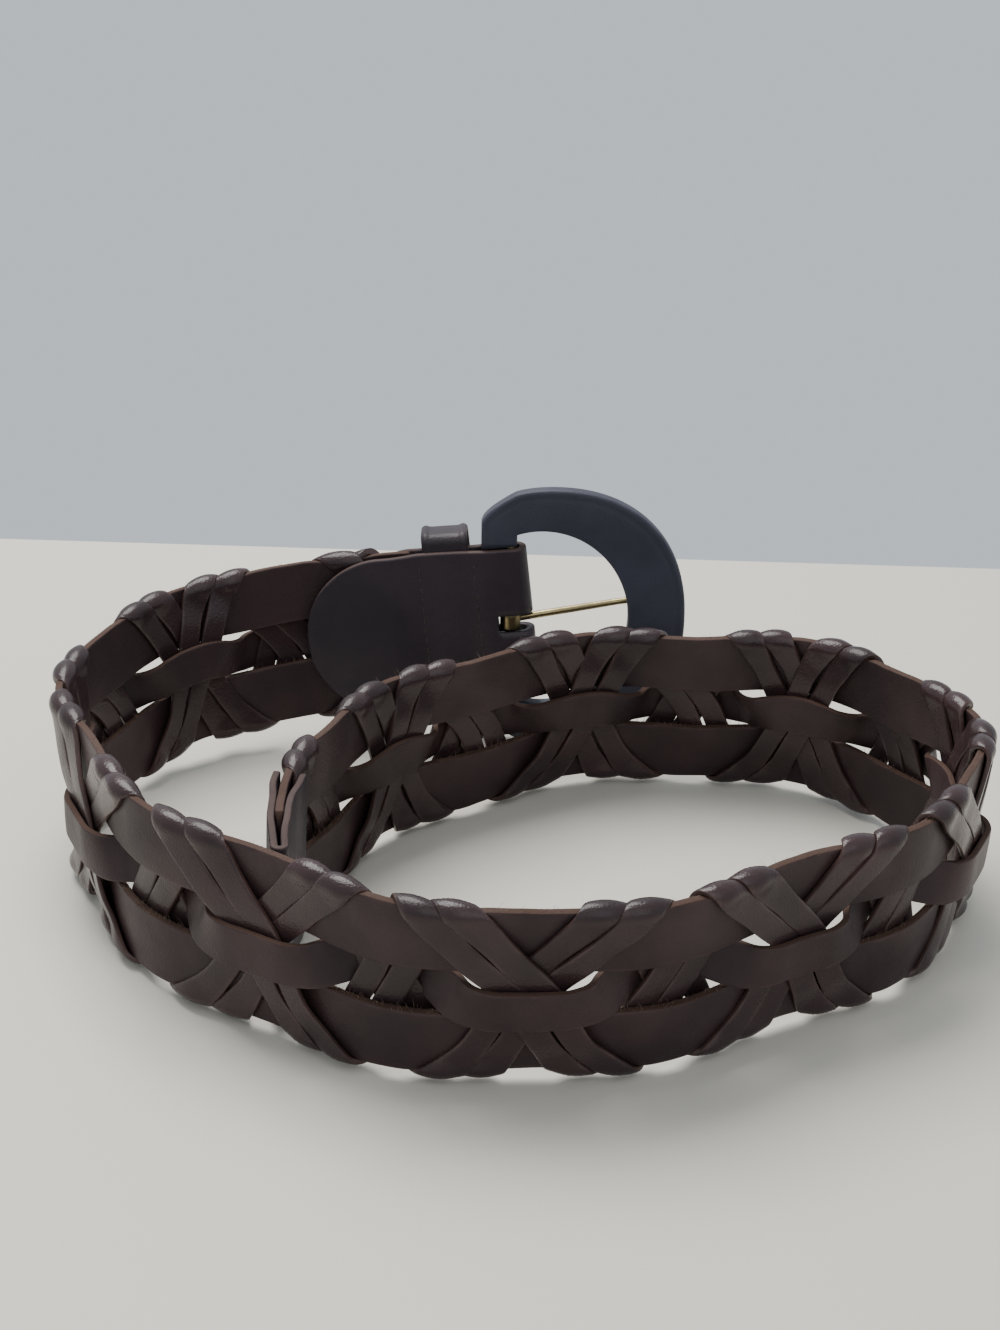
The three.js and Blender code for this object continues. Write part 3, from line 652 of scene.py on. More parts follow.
@dataclass
class Straps(BeltPiece):
    """The two flat bands of the core and the middle strap that weaves out and in between them."""

    lay: BeltLay
    leather: Material
    belt_width: float = 50.0
    band_section: Section = Section(18.0, 2.3, corner=0.4, crown=0.1, face_steps=16)
    middle_section: Section = Section(12.1, 1.8, corner=0.35, crown=0.12, face_steps=14)
    start: float = 38.0
    end: float = 845.04
    step: float = 1.0
    edge_rise: float = 1.0
    edge_press: float = 0.7
    press_width: float = 4.2
    press_from: tuple[float, float] = (-3.4, -3.3)
    puff: float = 0.35
    top_thongs: tuple[float, ...] = (-26.2, -16.6, 16.6, 26.2)
    bottom_thongs: tuple[float, ...] = (-23.9, -13.1, 13.1, 23.9)
    rise_wander: Wander = Wander(37.0, 0.15)
    edge_wander: Wander = Wander(53.0, 0.12)
    out_wander: Wander = Wander(90.0, 0.12)
    middle_wander: Wander = Wander(66.0, 0.25)
    first_crossing: int = -3
    last_crossing: int = 7
    middle_pass: float = 18.8
    middle_end: float = 7.6
    weave: tuple[WeaveRow, ...] = (
        WeaveRow(0.0, 6.4, 23.6, 0.0),
        WeaveRow(7.0, 6.3, 23.6, 0.0),
        WeaveRow(11.6, 5.1, 23.6, 2.0),
        WeaveRow(15.3, 3.1, 23.7, 5.0),
        WeaveRow(18.8, 0.0, 24.2, 8.0),
        WeaveRow(22.3, -3.1, 25.1, 5.0),
        WeaveRow(25.6, -5.1, 26.2, 2.0),
        WeaveRow(29.5, -6.3, 27.0, 0.0),
        WeaveRow(36.0, -6.4, 27.3, 0.0),
    )

    def pressed(self, along: Array, thongs: tuple[float, ...]) -> Array:
        """How firmly thongs press an edge of a band: a sum of bells exp(-(d / w)^2) at their places.

        Args:
            along: places along the flat braid in mm.
            thongs: places of the thongs from an outer crossing in mm.

        Returns:
            Press from 0 to 1 at each place.
        """
        repeat = self.lay.repeat
        away = along[:, None] - np.array(thongs)[None, :]
        away = (away + repeat / 2) % repeat - repeat / 2
        low, high = self.press_from
        inside = smoothstep(along, low * repeat, high * repeat)
        return np.clip(np.exp(-((away / self.press_width) ** 2)).sum(axis=1) * inside, 0.0, 1.0)

    def band(self, name: str, bottom: float, seed: int) -> None:
        """Builds one band, its free edge pressed down by the thongs and puffed up between them.

        Args:
            name: name of the node that it stands for.
            bottom: height of its lower edge in mm.
            seed: number for its wander.
        """
        repeats = self.lay.repeat_of(np.array([self.start, self.end]))
        along = np.arange(repeats[0] * self.lay.repeat, repeats[1] * self.lay.repeat, self.step)
        top_free = bottom > 0.0
        press = self.pressed(along, self.top_thongs if top_free else self.bottom_thongs)
        free = self.edge_rise - self.edge_press * press + self.rise_wander.at(along, seed + 3)
        low = bottom + self.edge_wander.at(along, seed)
        high = np.full(len(along), bottom + self.band_section.width)
        if top_free:
            high = high + free
        else:
            low = low - free
        centre = stacked(along, (low + high) / 2, self.out_wander.at(along, seed + 1))
        strand = Strand(
            centre,
            np.tile([0.0, 1.0, 0.0], (len(along), 1)),
            np.tile([0.0, 0.0, 1.0], (len(along), 1)),
            along,
            high - low,
            self.puff * (1.0 - press),
        )
        surface = carry_section(self.lay, strand, self.band_section, seed + 5)
        self.add_piece(name + "_leather", surface, self.leather, Body.STRAP, "strap_leather", name)

    def middle_rows(self) -> Array:
        """Rows of the middle strap from end to end.

        Returns:
            Columns place along, distance out, height and turn.
        """
        half = np.array([(row.along, row.out, row.up, row.turn) for row in self.weave])
        before = half[:0:-1] * np.array([-1.0, 1.0, 1.0, 1.0])
        turn = np.concatenate([before[1:], half])
        crossings = np.arange(self.first_crossing, self.last_crossing + 1)
        rows = np.repeat(turn[None], len(crossings), axis=0)
        rows[..., 0] += crossings[:, None] * self.lay.repeat
        rows = rows.reshape(-1, 4)
        first = self.first_crossing * self.lay.repeat
        last = self.last_crossing * self.lay.repeat
        start = first - self.middle_pass
        end = last + self.middle_pass
        rows = rows[(rows[:, 0] >= start) & (rows[:, 0] <= end)]
        rows[:, 3] *= (rows[:, 0] > first) & (rows[:, 0] < last)
        flat_start = self.lay.repeat_of(np.array(self.start)) * self.lay.repeat
        flat_end = self.middle_end * self.lay.repeat
        level = (0.0, self.belt_width / 2, 0.0)
        head = [(flat_start, *level), ((flat_start + start) / 2, *level)]
        tail = [((flat_end + end) / 2, *level), (flat_end, *level)]
        return np.concatenate([head, rows, tail])

    def middle(self, seed: int) -> None:
        """Builds the middle strap, over each outer crossing and over each inner one.

        Args:
            seed: number for its wander.
        """
        rows = self.middle_rows()
        turned = np.radians(rows[:, 3])
        points = rows[:, [0, 2, 1]]
        outwards = stacked(0.0, np.sin(turned), np.cos(turned))
        strand = strand_along(points, outwards, self.middle_section.width, self.step)
        strand.centre[:, 1] += self.middle_wander.at(strand.along, seed)
        surface = carry_section(self.lay, strand, self.middle_section, seed + 5)
        name = "middle_strap"
        self.add_piece(name + "_leather", surface, self.leather, Body.STRAP, "strap_leather", name)

    def build(self) -> None:
        """Builds both bands and the middle strap."""
        self.band("top_band", self.belt_width - self.band_section.width, seed=11)
        self.band("bottom_band", 0.0, seed=23)
        self.middle(seed=37)


@dataclass
class EdgeFibres(BeltPiece):
    """Loose fibres that stand up from the raw edges of the bands."""

    lay: BeltLay
    leather: Material
    start: float = 66.0
    end: float = 820.0
    edges: tuple[float, ...] = (50.6, 18.4)
    count: int = 1100
    half_thick: float = 1.0
    length: float = 1.7
    shortest: float = 0.25
    short_ones: float = 1.5
    radius: float = 0.075
    taper: float = 0.8
    lean: float = 0.9
    sunk: float = 0.7
    rings: int = 4
    sides: int = 3
    seed: int = 97

    def build(self) -> None:
        """Builds the fibres: thin bent cones that rise from an edge with a random lean and length.

        A point is B + (t l - d) U + t^2 l (p T + q F) + r (1 - c t) (cos b T + sin b F), where U is up the
        belt, T along it and F outwards, t goes from 0 to 1, c is the taper, and l, p and q are drawn for
        each fibre.
        """
        random = np.random.default_rng(self.seed)
        shape = (self.count, 1, 1)
        t = np.linspace(0.0, 1.0, self.rings)[:, None]
        b = 2.0 * math.pi * np.arange(self.sides) / self.sides
        thin = self.radius * (1.0 - self.taper * t)
        surfaces = []
        for edge in self.edges:
            at = random.uniform(self.start, self.end, self.count).reshape(shape)
            out = random.uniform(-self.half_thick, self.half_thick, self.count).reshape(shape)
            share = random.uniform(self.shortest, 1.0, self.count).reshape(shape)
            tall = self.length * share**self.short_ones
            lean = random.normal(0.0, self.lean, (2, *shape))
            along = at + t**2 * tall * lean[0] + thin * np.cos(b)
            outwards = out + t**2 * tall * lean[1] + thin * np.sin(b)
            up = edge - self.sunk + t * (tall + self.sunk)
            flat = stacked(self.lay.repeat_of(along) * self.lay.repeat, up, outwards)
            surfaces += [tube(fibre) for fibre in self.lay.lay_flat(flat)]
        self.add_piece("edge_fibres", joined(surfaces), self.leather, Body.STRAP, "strap_leather")


@dataclass(frozen=True)
class TurnRow:
    """One place of a turn of a pair of thongs, in mm.

    along is the distance from the outer crossing, and round the distance round the core from the middle of
    its outside, upwards. over is 1 where the pair can lie over the other one, and spread is half the
    distance between its two thongs.
    """

    along: float
    round: float
    over: float
    spread: float


@dataclass
class Thongs(BeltPiece):
    """Two pairs of narrow thongs, wound round both bands in opposite directions.

    The core is a plate with half-round edges. A thong is a flat strip on its skin, unrolled, with places
    (along, v), where v is the distance round the core.
    """

    lay: BeltLay
    leather: Material
    section: Section = Section(6.9, 1.4, corner=0.34, crown=0.16, face_steps=12)
    widened: float = 1.6
    widened_from: float = 3.0
    widened_to: float = 13.0
    step: float = 0.7
    straight: float = 24.0
    layer_one: float = 2.3
    layer_two: float = 4.2
    dome: float = 0.9
    dome_from: float = 1.5
    dome_to: float = 6.5
    roll: float = 0.45
    turns: int = 9
    middle: float = 25.0
    start: float = -242.0
    end: float = 540.5
    crossed: tuple[float, float] = (-3.27, 7.27)
    wander: Wander = Wander(83.0, 0.3)
    rows: tuple[TurnRow, ...] = (
        TurnRow(-21.4, 27.6, 0.0, 4.8),
        TurnRow(-18.8, 24.1, 0.0, 4.9),
        TurnRow(-16.2, 21.0, 0.1, 5.0),
        TurnRow(-12.2, 16.4, 0.55, 4.9),
        TurnRow(-6.6, 10.0, 1.0, 4.6),
        TurnRow(-1.8, 4.6, 1.0, 4.2),
        TurnRow(2.2, -1.5, 1.0, 4.1),
        TurnRow(5.0, -8.5, 1.0, 4.1),
        TurnRow(8.2, -15.0, 0.8, 4.3),
        TurnRow(11.4, -20.2, 0.15, 4.7),
        TurnRow(14.6, -24.2, 0.0, 5.2),
        TurnRow(18.4, -27.6, 0.0, 5.4),
        TurnRow(22.4, -31.0, 0.0, 5.2),
        TurnRow(25.6, -35.0, 0.15, 4.7),
        TurnRow(28.4, -40.2, 0.8, 4.3),
        TurnRow(31.6, -47.0, 1.0, 4.1),
        TurnRow(36.0, -55.2, 1.0, 4.0),
        TurnRow(39.4, -62.5, 1.0, 4.2),
        TurnRow(42.2, -69.2, 0.8, 4.6),
        TurnRow(45.1, -75.0, 0.15, 4.8),
        TurnRow(47.6, -79.2, 0.0, 4.8),
    )

    @property
    def girth(self) -> float:
        """Distance once round the core."""
        return 4.0 * self.straight + 2.0 * math.pi * self.layer_one

    def wrapped(self, v: Array) -> Array:
        """Distance round the core from the middle of its outside, within half a turn of it."""
        return (v + self.girth / 2) % self.girth - self.girth / 2

    def round_core(self, v: Array, off: Array) -> tuple[Array, Array]:
        """Heights and distances outwards of places round the core.

        On the straight outer side the height is m + v and the distance outwards r, where r is the layer's
        radius plus off. Past the straight side the point turns by an angle b round the edge's centre, to
        m + s + r sin b and r cos b, and past half a turn it runs back on the inner side.

        Args:
            v: distances round the core.
            off: distances off its skin.

        Returns:
            The heights and the distances outwards.
        """
        near = self.wrapped(v)
        side = np.where(near < 0.0, -1.0, 1.0)
        past = np.abs(near) - self.straight
        angle = np.clip(past / self.layer_one, 0.0, math.pi)
        back = np.maximum(past - math.pi * self.layer_one, 0.0)
        reach = np.minimum(np.abs(near), self.straight) - back
        radius = self.layer_one + off
        return self.middle + side * (reach + radius * np.sin(angle)), radius * np.cos(angle)

    def line(self, mirrored: bool, which: int, seed: int) -> Array:
        """Middle line of one thong of a pair, from the buckle to the free end.

        The second pair is the first one's mirror image along the belt, in the opposite layers.

        Args:
            mirrored: whether it belongs to the second pair.
            which: -1 or 1, the thong of the pair.
            seed: number for its wander.

        Returns:
            Columns along, distance round the core and distance above the lower layer for each station.
        """
        table = np.array([(r.along, r.round, r.over, r.spread) for r in self.rows])
        turns = np.arange(-self.turns, self.turns + 1)[:, None]
        every = np.repeat(table[None], len(turns), axis=0)
        every[..., 0] += turns * self.lay.repeat
        every[..., 1] -= turns * self.girth
        every = every.reshape(-1, 4)
        if mirrored:
            every = every[::-1] * np.array([-1.0, 1.0, 1.0, 1.0])
        outside = np.abs(self.wrapped(every[:, 1])) < self.girth / 4
        place = every[:, 0] / self.lay.repeat
        in_braid = (place > self.crossed[0]) & (place < self.crossed[1])
        above = (self.layer_two - self.layer_one) * every[:, 2] * (in_braid & (outside != mirrored))
        knots = stacked(every[:, 0] + which * every[:, 3], every[:, 1], above)
        lengths = lengths_along(knots[:, :2])
        run = np.arange(0.0, lengths[-1], self.step)
        line = through(lengths, knots, run)
        line[:, 2] = through(lengths, knots[:, 2], run, keep_between=True)
        line[:, 0] += self.wander.at(run, seed)
        return line[(line[:, 0] > self.start) & (line[:, 0] < self.end)]

    def thong(self, name: str, mirrored: bool, which: int, seed: int) -> None:
        """Builds one thong: a section carried along its line on the skin of the core.

        A point lies at C(i) + a(j) A(i) on the unrolled skin, where A is the tangent (ta, tv) turned to
        (-tv, ta), and n(j) + l(i) (1 - x^2) + r(i) x + e(i) off it. x goes from -1 to 1 across the strip, l
        domes it on the edges of the belt, r raises its side that looks away from the crossings, and e is
        its layer.

        Args:
            name: name of the node that it stands for.
            mirrored: whether it belongs to the second pair.
            which: -1 or 1, the thong of the pair.
            seed: number for its wander.
        """
        line = self.line(mirrored, which, seed)
        run = self.step * np.arange(len(line))
        tangent = unit(np.gradient(line[:, :2], axis=0))
        ring = self.section.ring()
        from_edge = np.abs(np.abs(self.wrapped(line[:, 1])) - self.girth / 4)
        wide = 1.0 - smoothstep(from_edge, self.widened_from, self.widened_to)
        width = (self.section.width + self.widened * wide) * (1.0 + WIDTH_WANDER.at(run, seed + 2))
        dome = self.dome * (1.0 - smoothstep(from_edge, self.dome_from, self.dome_to))
        hand = -1.0 if mirrored else 1.0
        roll = -hand * self.roll * np.sin(2.0 * math.pi * line[:, 1] / self.girth)
        a = ring.spread(width[:, None] / 2)
        puffed = dome[:, None] * (1.0 - ring.across**2) + roll[:, None] * ring.across
        off = ring.height + puffed + line[:, 2:3]
        along = line[:, 0:1] - a * tangent[:, 1:2]
        up, out = self.round_core(line[:, 1:2] + a * tangent[:, 0:1], off)
        points = self.lay.lay_flat(stacked(along, up, out))
        surface = ring.skin(points, run, a, FACES_APART)
        self.add_piece(name + "_leather", surface, self.leather, Body.STRAP, "thong_leather", name)

    def build(self) -> None:
        """Builds the four thongs."""
        self.thong("thong_a1", mirrored=False, which=-1, seed=41)
        self.thong("thong_a2", mirrored=False, which=1, seed=53)
        self.thong("thong_b1", mirrored=True, which=-1, seed=67)
        self.thong("thong_b2", mirrored=True, which=1, seed=79)


@dataclass(frozen=True)
class SheetRow:
    """Distance of a folded sheet from the middle plane at a distance along the belt, in mm."""

    at: float
    out: float


@dataclass(frozen=True)
class Fold:
    """Half a circle that joins the two layers of a folded sheet, (c + t r cos a, r sin a).

    centre is its place along the belt in mm, and towards is -1 where the fold is at the start of the
    sheet and 1 where it is at its end.
    """

    centre: float
    radius: float
    towards: float
    steps: int = 16

    def line(self, inner: tuple[SheetRow, ...], outer: tuple[SheetRow, ...], step: float) -> Array:
        """Centre line of the sheet, from the tip of its inner layer round the fold to its outer tip.

        The layers are smooth curves through their rows.

        Args:
            inner: rows of the inner layer, from the fold to the tip.
            outer: the same of the outer layer.
            step: distance between points.

        Returns:
            Points with their place along and out.
        """
        angle = np.linspace(-math.pi / 2, math.pi / 2, self.steps + 1)
        along = self.centre + self.towards * self.radius * np.cos(angle)
        fold = stacked(along, self.radius * np.sin(angle))
        layers = []
        for rows in (inner, outer):
            places = np.array([row.at for row in rows])
            outs = np.array([row.out for row in rows])
            count = int(abs(places[-1] - places[0]) / step) + 1
            at = np.linspace(places[0], places[-1], count)
            out = through(-self.towards * places, outs, -self.towards * at, keep_between=True)
            layers.append(stacked(at, out)[1:])
        back = layers[0][::-1] * np.array([1.0, -1.0])
        return np.concatenate([back, fold, layers[1]])


@dataclass(frozen=True)
class Seam:
    """A row of stitches with one pitch, in mm."""

    length: float
    radius: float
    pitch: float = 3.4
    dip: float = 1.6
    reach: float = 0.97
    rings: int = 7
    sides: int = 8

    def stitches(self, line: Array, normal: Array) -> list[Surface]:
        """Sews along a line, each stitch half sunk in the leather and its ends dipping in.

        A stitch is C + u D + r(u) (cos b S + sin b N) - q r0 u^4 N, where D is the line's direction, N its
        normal, S the side direction, q the dip and r = r0 sqrt(1 - u^4) for u from nearly -1 to nearly 1.

        Args:
            line: points of the line on the leather, in mm.
            normal: the leather's outward direction at each of them.

        Returns:
            One closed surface for each stitch.
        """
        lengths = lengths_along(line)
        count = int(lengths[-1] / self.pitch)
        start = (lengths[-1] - (count - 1) * self.pitch) / 2
        centres = start + self.pitch * np.arange(count)
        u = np.linspace(-self.reach, self.reach, self.rings)
        b = 2.0 * math.pi * np.arange(self.sides) / self.sides
        at = centres[:, None] + u * self.length / 2
        middle = interpolated(at, lengths, line)
        facing = unit(interpolated(at, lengths, normal))
        ahead = unit(middle[:, -1:] - middle[:, :1])
        sideways = unit(np.cross(ahead, facing))
        radius = self.radius * np.sqrt(1.0 - u**4)
        middle = middle - (self.dip * self.radius * u**4)[:, None] * facing
        grid = middle[:, :, None, :] + radius[:, None, None] * (
            np.cos(b)[:, None] * sideways[:, :, None, :] + np.sin(b)[:, None] * facing[:, :, None, :]
        )
        return [tube(stitch) for stitch in grid]


@dataclass
class FoldedEnds(BeltPiece):
    """The leather cover at the buckle end, with its slot and stitches, and the tab of the free end."""

    lay: BeltLay
    leather: Material
    thread: Material
    cover_section: Section = Section(52.0, 2.2, corner=0.5, crown=0.1, face_steps=30)
    tab_section: Section = Section(50.0, 2.0, corner=0.45, crown=0.1, face_steps=20)
    middle: float = 25.0
    inner_tip: float = 74.0
    outer_tip: float = 60.0
    least_half: float = 0.02
    cover_fold: Fold = Fold(centre=4.3, radius=3.2, towards=-1.0)
    slot_low: float = 22.4
    slot_high: float = 28.5
    slot_reach: float = 11.5
    step: float = 1.0
    faces_apart: float = 60.0
    stitch_lines: tuple[float, ...] = (17.4, 35.2)
    stitched: tuple[float, float] = (1.5, 48.5)
    seam_points: int = 60
    seam: Seam = Seam(length=2.5, radius=0.34)
    tab_repeat: float = 7.44
    tab_fold: float = 1.4
    belt_end: float = 864.0
    cover_rows: tuple[SheetRow, ...] = (
        SheetRow(4.3, 3.2),
        SheetRow(13, 3.1),
        SheetRow(20, 2.4),
        SheetRow(26, 2.3),
        SheetRow(35.2, 2.6),
        SheetRow(40, 4.3),
        SheetRow(46, 5.7),
    )
    inner_tip_rows: tuple[SheetRow, ...] = (
        SheetRow(56, 5.8),
        SheetRow(62.9, 5.2),
        SheetRow(67.9, 4.2),
        SheetRow(71.6, 3.5),
        SheetRow(73.9, 3.2),
    )
    outer_tip_rows: tuple[SheetRow, ...] = (SheetRow(53.9, 5.8), SheetRow(57.6, 5.6), SheetRow(59.9, 5.5))
    tab_rows: tuple[SheetRow, ...] = (
        SheetRow(36, 1.4),
        SheetRow(30, 1.7),
        SheetRow(24, 2.2),
        SheetRow(18, 2.25),
        SheetRow(12, 2.5),
        SheetRow(5, 3.5),
        SheetRow(0, 3.6),
    )

    def sheet(self, line: Array, half: Array, ring: Ring) -> Surface:
        """Carries a section along a folded line and lays it on the belt.

        A point is line(i) + n(j) N(i) outwards and middle + a(j) half(i) up, where N is the line's normal.
        The section's points are moved a little, so that two of them lie on the edges of the slot.

        Args:
            line: centre line with places along and out.
            half: half the sheet's height at each point of the line.
            ring: the leather's section.

        Returns:
            The surface, with its cut and rim masks and its leather places.
        """
        tangent = unit(np.gradient(line, axis=0))
        normal = stacked(-tangent[:, 1], tangent[:, 0])
        low, high = self.slot_share(self.slot_low), self.slot_share(self.slot_high)
        stops = np.sort(ring.across[np.abs(ring.across) < 1.0])
        nearest = [stops[np.abs(stops - edge).argmin()] for edge in (low, high)]
        moved = np.interp(ring.across, [-1.0, *nearest, 1.0], [-1.0, low, high, 1.0])
        a = np.sign(moved) * np.maximum(np.abs(moved) * half[:, None] - ring.inset, self.least_half)
        at = line[:, 0:1] + ring.height * normal[:, 0:1]
        out = line[:, 1:2] + ring.height * normal[:, 1:2]
        points = self.lay.place(at, self.middle + a, out)
        return ring.skin(points, lengths_along(line), a, self.faces_apart)

    def slot_share(self, up: float) -> float:
        """Place of a height across the cover, from -1 at its lower edge to 1 at its upper edge."""
        return (up - self.middle) / (self.cover_section.width / 2)

    def cut_slot(self, surface: Surface, line: Array, ring: Ring) -> None:
        """Cuts a slot through the cover: takes the faces out of both sides and walls it round.

        Ring i of the surface starts at point i c, where c is the count of points in a ring, and its point
        j on the outer side faces point c - 1 - j on the inner side.

        Args:
            surface: the cover's surface, which is changed.
            line: its centre line with places along and out.
            ring: its section.
        """
        count = len(ring.across)
        across = np.where(ring.outer, ring.across, np.inf)
        low = int(np.abs(across - self.slot_share(self.slot_low)).argmin())
        high = int(np.abs(across - self.slot_share(self.slot_high)).argmin())
        in_slot = np.flatnonzero(line[:, 0] < self.slot_reach)
        first, last = int(in_slot[0]), int(in_slot[-1])
        i, j = np.divmod(np.arange((len(line) - 1) * count), count)
        outer = (j >= low) & (j < high)
        inner = (j >= count - 1 - high) & (j < count - 1 - low)
        kept = surface.quads[~((i >= first) & (i < last) & (outer | inner))]
        rows = np.arange(first, last)
        points = np.arange(low, high)
        walls = [
            self.wall(count, (rows + 1, low), (rows, low)),
            self.wall(count, (rows, high), (rows + 1, high)),
            self.wall(count, (first, points), (first, points + 1)),
            self.wall(count, (last, points + 1), (last, points)),
        ]
        surface.quads = np.concatenate([kept, *walls])

    @staticmethod
    def wall(count: int, start: tuple[Index, Index], end: tuple[Index, Index]) -> NDArray[np.int64]:
        """Quads of a wall of the slot, through the leather from its outer to its inner side.

        Args:
            count: points in a ring.
            start: ring and point on the outer side where each quad starts.
            end: ring and point on the outer side where each quad ends.

        Returns:
            Four point numbers for each quad.
        """
        outer = [row * count + point for row, point in (start, end)]
        inner = [row * count + count - 1 - point for row, point in (end, start)]
        return np.stack(outer + inner, axis=-1)

    def cover(self) -> None:
        """Builds the end cover: a folded sheet with half-round tips and a slot for the prong."""
        inner = self.cover_rows + self.inner_tip_rows
        outer = self.cover_rows + self.outer_tip_rows
        line = self.cover_fold.line(inner, outer, self.step)
        radius = self.cover_section.width / 2
        tip = np.where(line[:, 1] < 0.0, self.inner_tip, self.outer_tip)
        past = np.clip(line[:, 0] - (tip - radius), 0.0, radius)
        ring = self.cover_section.ring()
        surface = self.sheet(line, np.sqrt(radius**2 - past**2), ring)
        self.cut_slot(surface, line, ring)
        self.add_piece("end_cover_leather", surface, self.leather, Body.STRAP, "end_leather", "end_cover")

    def cover_stitches(self) -> None:
        """Builds the lines of stitches across both faces of the cover."""
        surfaces = []
        up = np.linspace(*self.stitched, self.seam_points)
        places = [row.at for row in self.cover_rows]
        outs = [row.out for row in self.cover_rows]
        for at in self.stitch_lines:
            out = np.interp(at, places, outs) + self.cover_section.thick / 2
            for side in (-1.0, 1.0):
                line = self.lay.place(np.array(at), up, np.array(side * out))
                beyond = self.lay.place(np.array(at), up, np.array(side * (out + 1.0)))
                surfaces += self.seam.stitches(line, unit(beyond - line))
        self.add_piece("cover_stitches", joined(surfaces), self.thread, Body.STRAP, "end_leather")

    def tab(self) -> None:
        """Builds the folded tab over the ends of the straps."""
        start = float(self.lay.distance_of(np.array(self.tab_repeat)))
        rows = tuple(SheetRow(start + row.at, row.out) for row in self.tab_rows)
        fold = Fold(self.belt_end - self.tab_fold - self.tab_section.thick / 2, self.tab_fold, 1.0)
        line = fold.line(rows, rows, self.step)
        half = np.full(len(line), self.tab_section.width / 2)
        surface = self.sheet(line, half, self.tab_section.ring())
        self.add_piece("tip_tab_leather", surface, self.leather, Body.STRAP, "end_leather", "tip_tab")

    def build(self) -> None:
        """Builds the cover with its stitches, and the tab."""
        self.cover()
        self.cover_stitches()
        self.tab()


@dataclass
class Keeper(BeltPiece):
    """Leather loop on the outer side of the cover, standing above its top edge."""

    lay: BeltLay
    leather: Material
    thread: Material
    section: Section = Section(16.0, 1.6, corner=0.5, crown=0.1, face_steps=44)
    start: float = 18.3
    narrowing: float = 0.06
    narrows_from: float = 20.0
    top: float = 55.2
    bottom: float = -3.2
    depth: float = 10.6
    corner: float = 2.0
    corner_steps: int = 6
    leg_steps: int = 13
    run_step: float = 1.2
    rim_rise: float = 0.5
    rim_place: float = 1.5
    rim_width: float = 1.1
    seam: Seam = Seam(length=2.4, radius=0.32)
    seam_from_edge: float = 3.1
    seam_above_bottom: float = 2.0
    seam_below_top: float = 1.5
    seam_lift: float = 0.05
    seam_points: int = 60

    @property
    def middle(self) -> float:
        """Place of the loop's middle along the belt."""
        return self.start + self.section.width / 2

    def half_width(self, up: Array) -> Array:
        """Half the loop's width at a height: it narrows a little towards its top."""
        narrower = self.narrowing * smoothstep(up, self.narrows_from, self.top)
        return self.section.width / 2 * (1.0 - narrower)

    def loop(self) -> Surface:
        """The loop: a section carried round a rounded rectangle in the plane across the belt.

        Its outer face is raised along both edges by h exp(-((d - p) / w)^2), where d is the distance from
        the edge.

        Returns:
            Its surface.
        """
        ring = self.section.ring()
        from_edge = self.section.width / 2 * (1.0 - np.abs(ring.across))
        raised = self.rim_rise * np.exp(-(((from_edge - self.rim_place) / self.rim_width) ** 2))
        height = ring.height + raised * ring.outer
        quarter = np.linspace(0.0, math.pi / 2, self.corner_steps + 1)
        leg = np.linspace(0.0, 1.0, self.leg_steps + 1)[1:-1]
        top = self.top - self.corner
        bottom = self.bottom + self.corner
        far = self.depth - self.corner
        still = np.zeros(len(quarter))
        flat = np.zeros(len(leg))
        up = np.concatenate([
            top + still, top + still, top + (bottom - top) * leg,
            bottom + still, bottom + still, bottom + (top - bottom) * leg,
        ])
        out = np.concatenate([
            self.corner + still, far + still, far + flat,
            far + still, self.corner + still, self.corner + flat,
        ])
        angle = np.concatenate([
            quarter - math.pi / 2, quarter, flat + math.pi / 2,
            quarter + math.pi / 2, quarter + math.pi, flat - math.pi / 2,
        ])
        radius = self.corner + height[None, :]
        ring_up = up[:, None] + radius * np.cos(angle)[:, None]
        ring_out = out[:, None] + radius * np.sin(angle)[:, None]
        a = ring.spread(self.half_width(ring_up))
        points = self.lay.place(self.middle + a, ring_up, ring_out)
        return ring.skin(points, self.run_step * np.arange(len(up)), a, looped=True)

    def stitches(self) -> None:
        """Sews a line inside each edge of the loop's outer leg."""
        low = self.bottom + self.seam_above_bottom
        up = np.linspace(low, self.top - self.seam_below_top, self.seam_points)
        out = np.array(self.depth + self.section.thick / 2 + self.seam_lift)
        surfaces = []
        for side in (-1.0, 1.0):
            at = self.middle + side * (self.half_width(up) - self.seam_from_edge)
            line = self.lay.place(at, up, out)
            surfaces += self.seam.stitches(line, unit(self.lay.place(at, up, out + 1.0) - line))
        self.add_piece("keeper_stitches", joined(surfaces), self.thread, Body.STRAP, "end_leather")

    def build(self) -> None:
        """Builds the loop and its stitches."""
        name = "keeper_loop"
        self.add_piece(name + "_leather", self.loop(), self.leather, Body.STRAP, "end_leather", name)
        self.stitches()


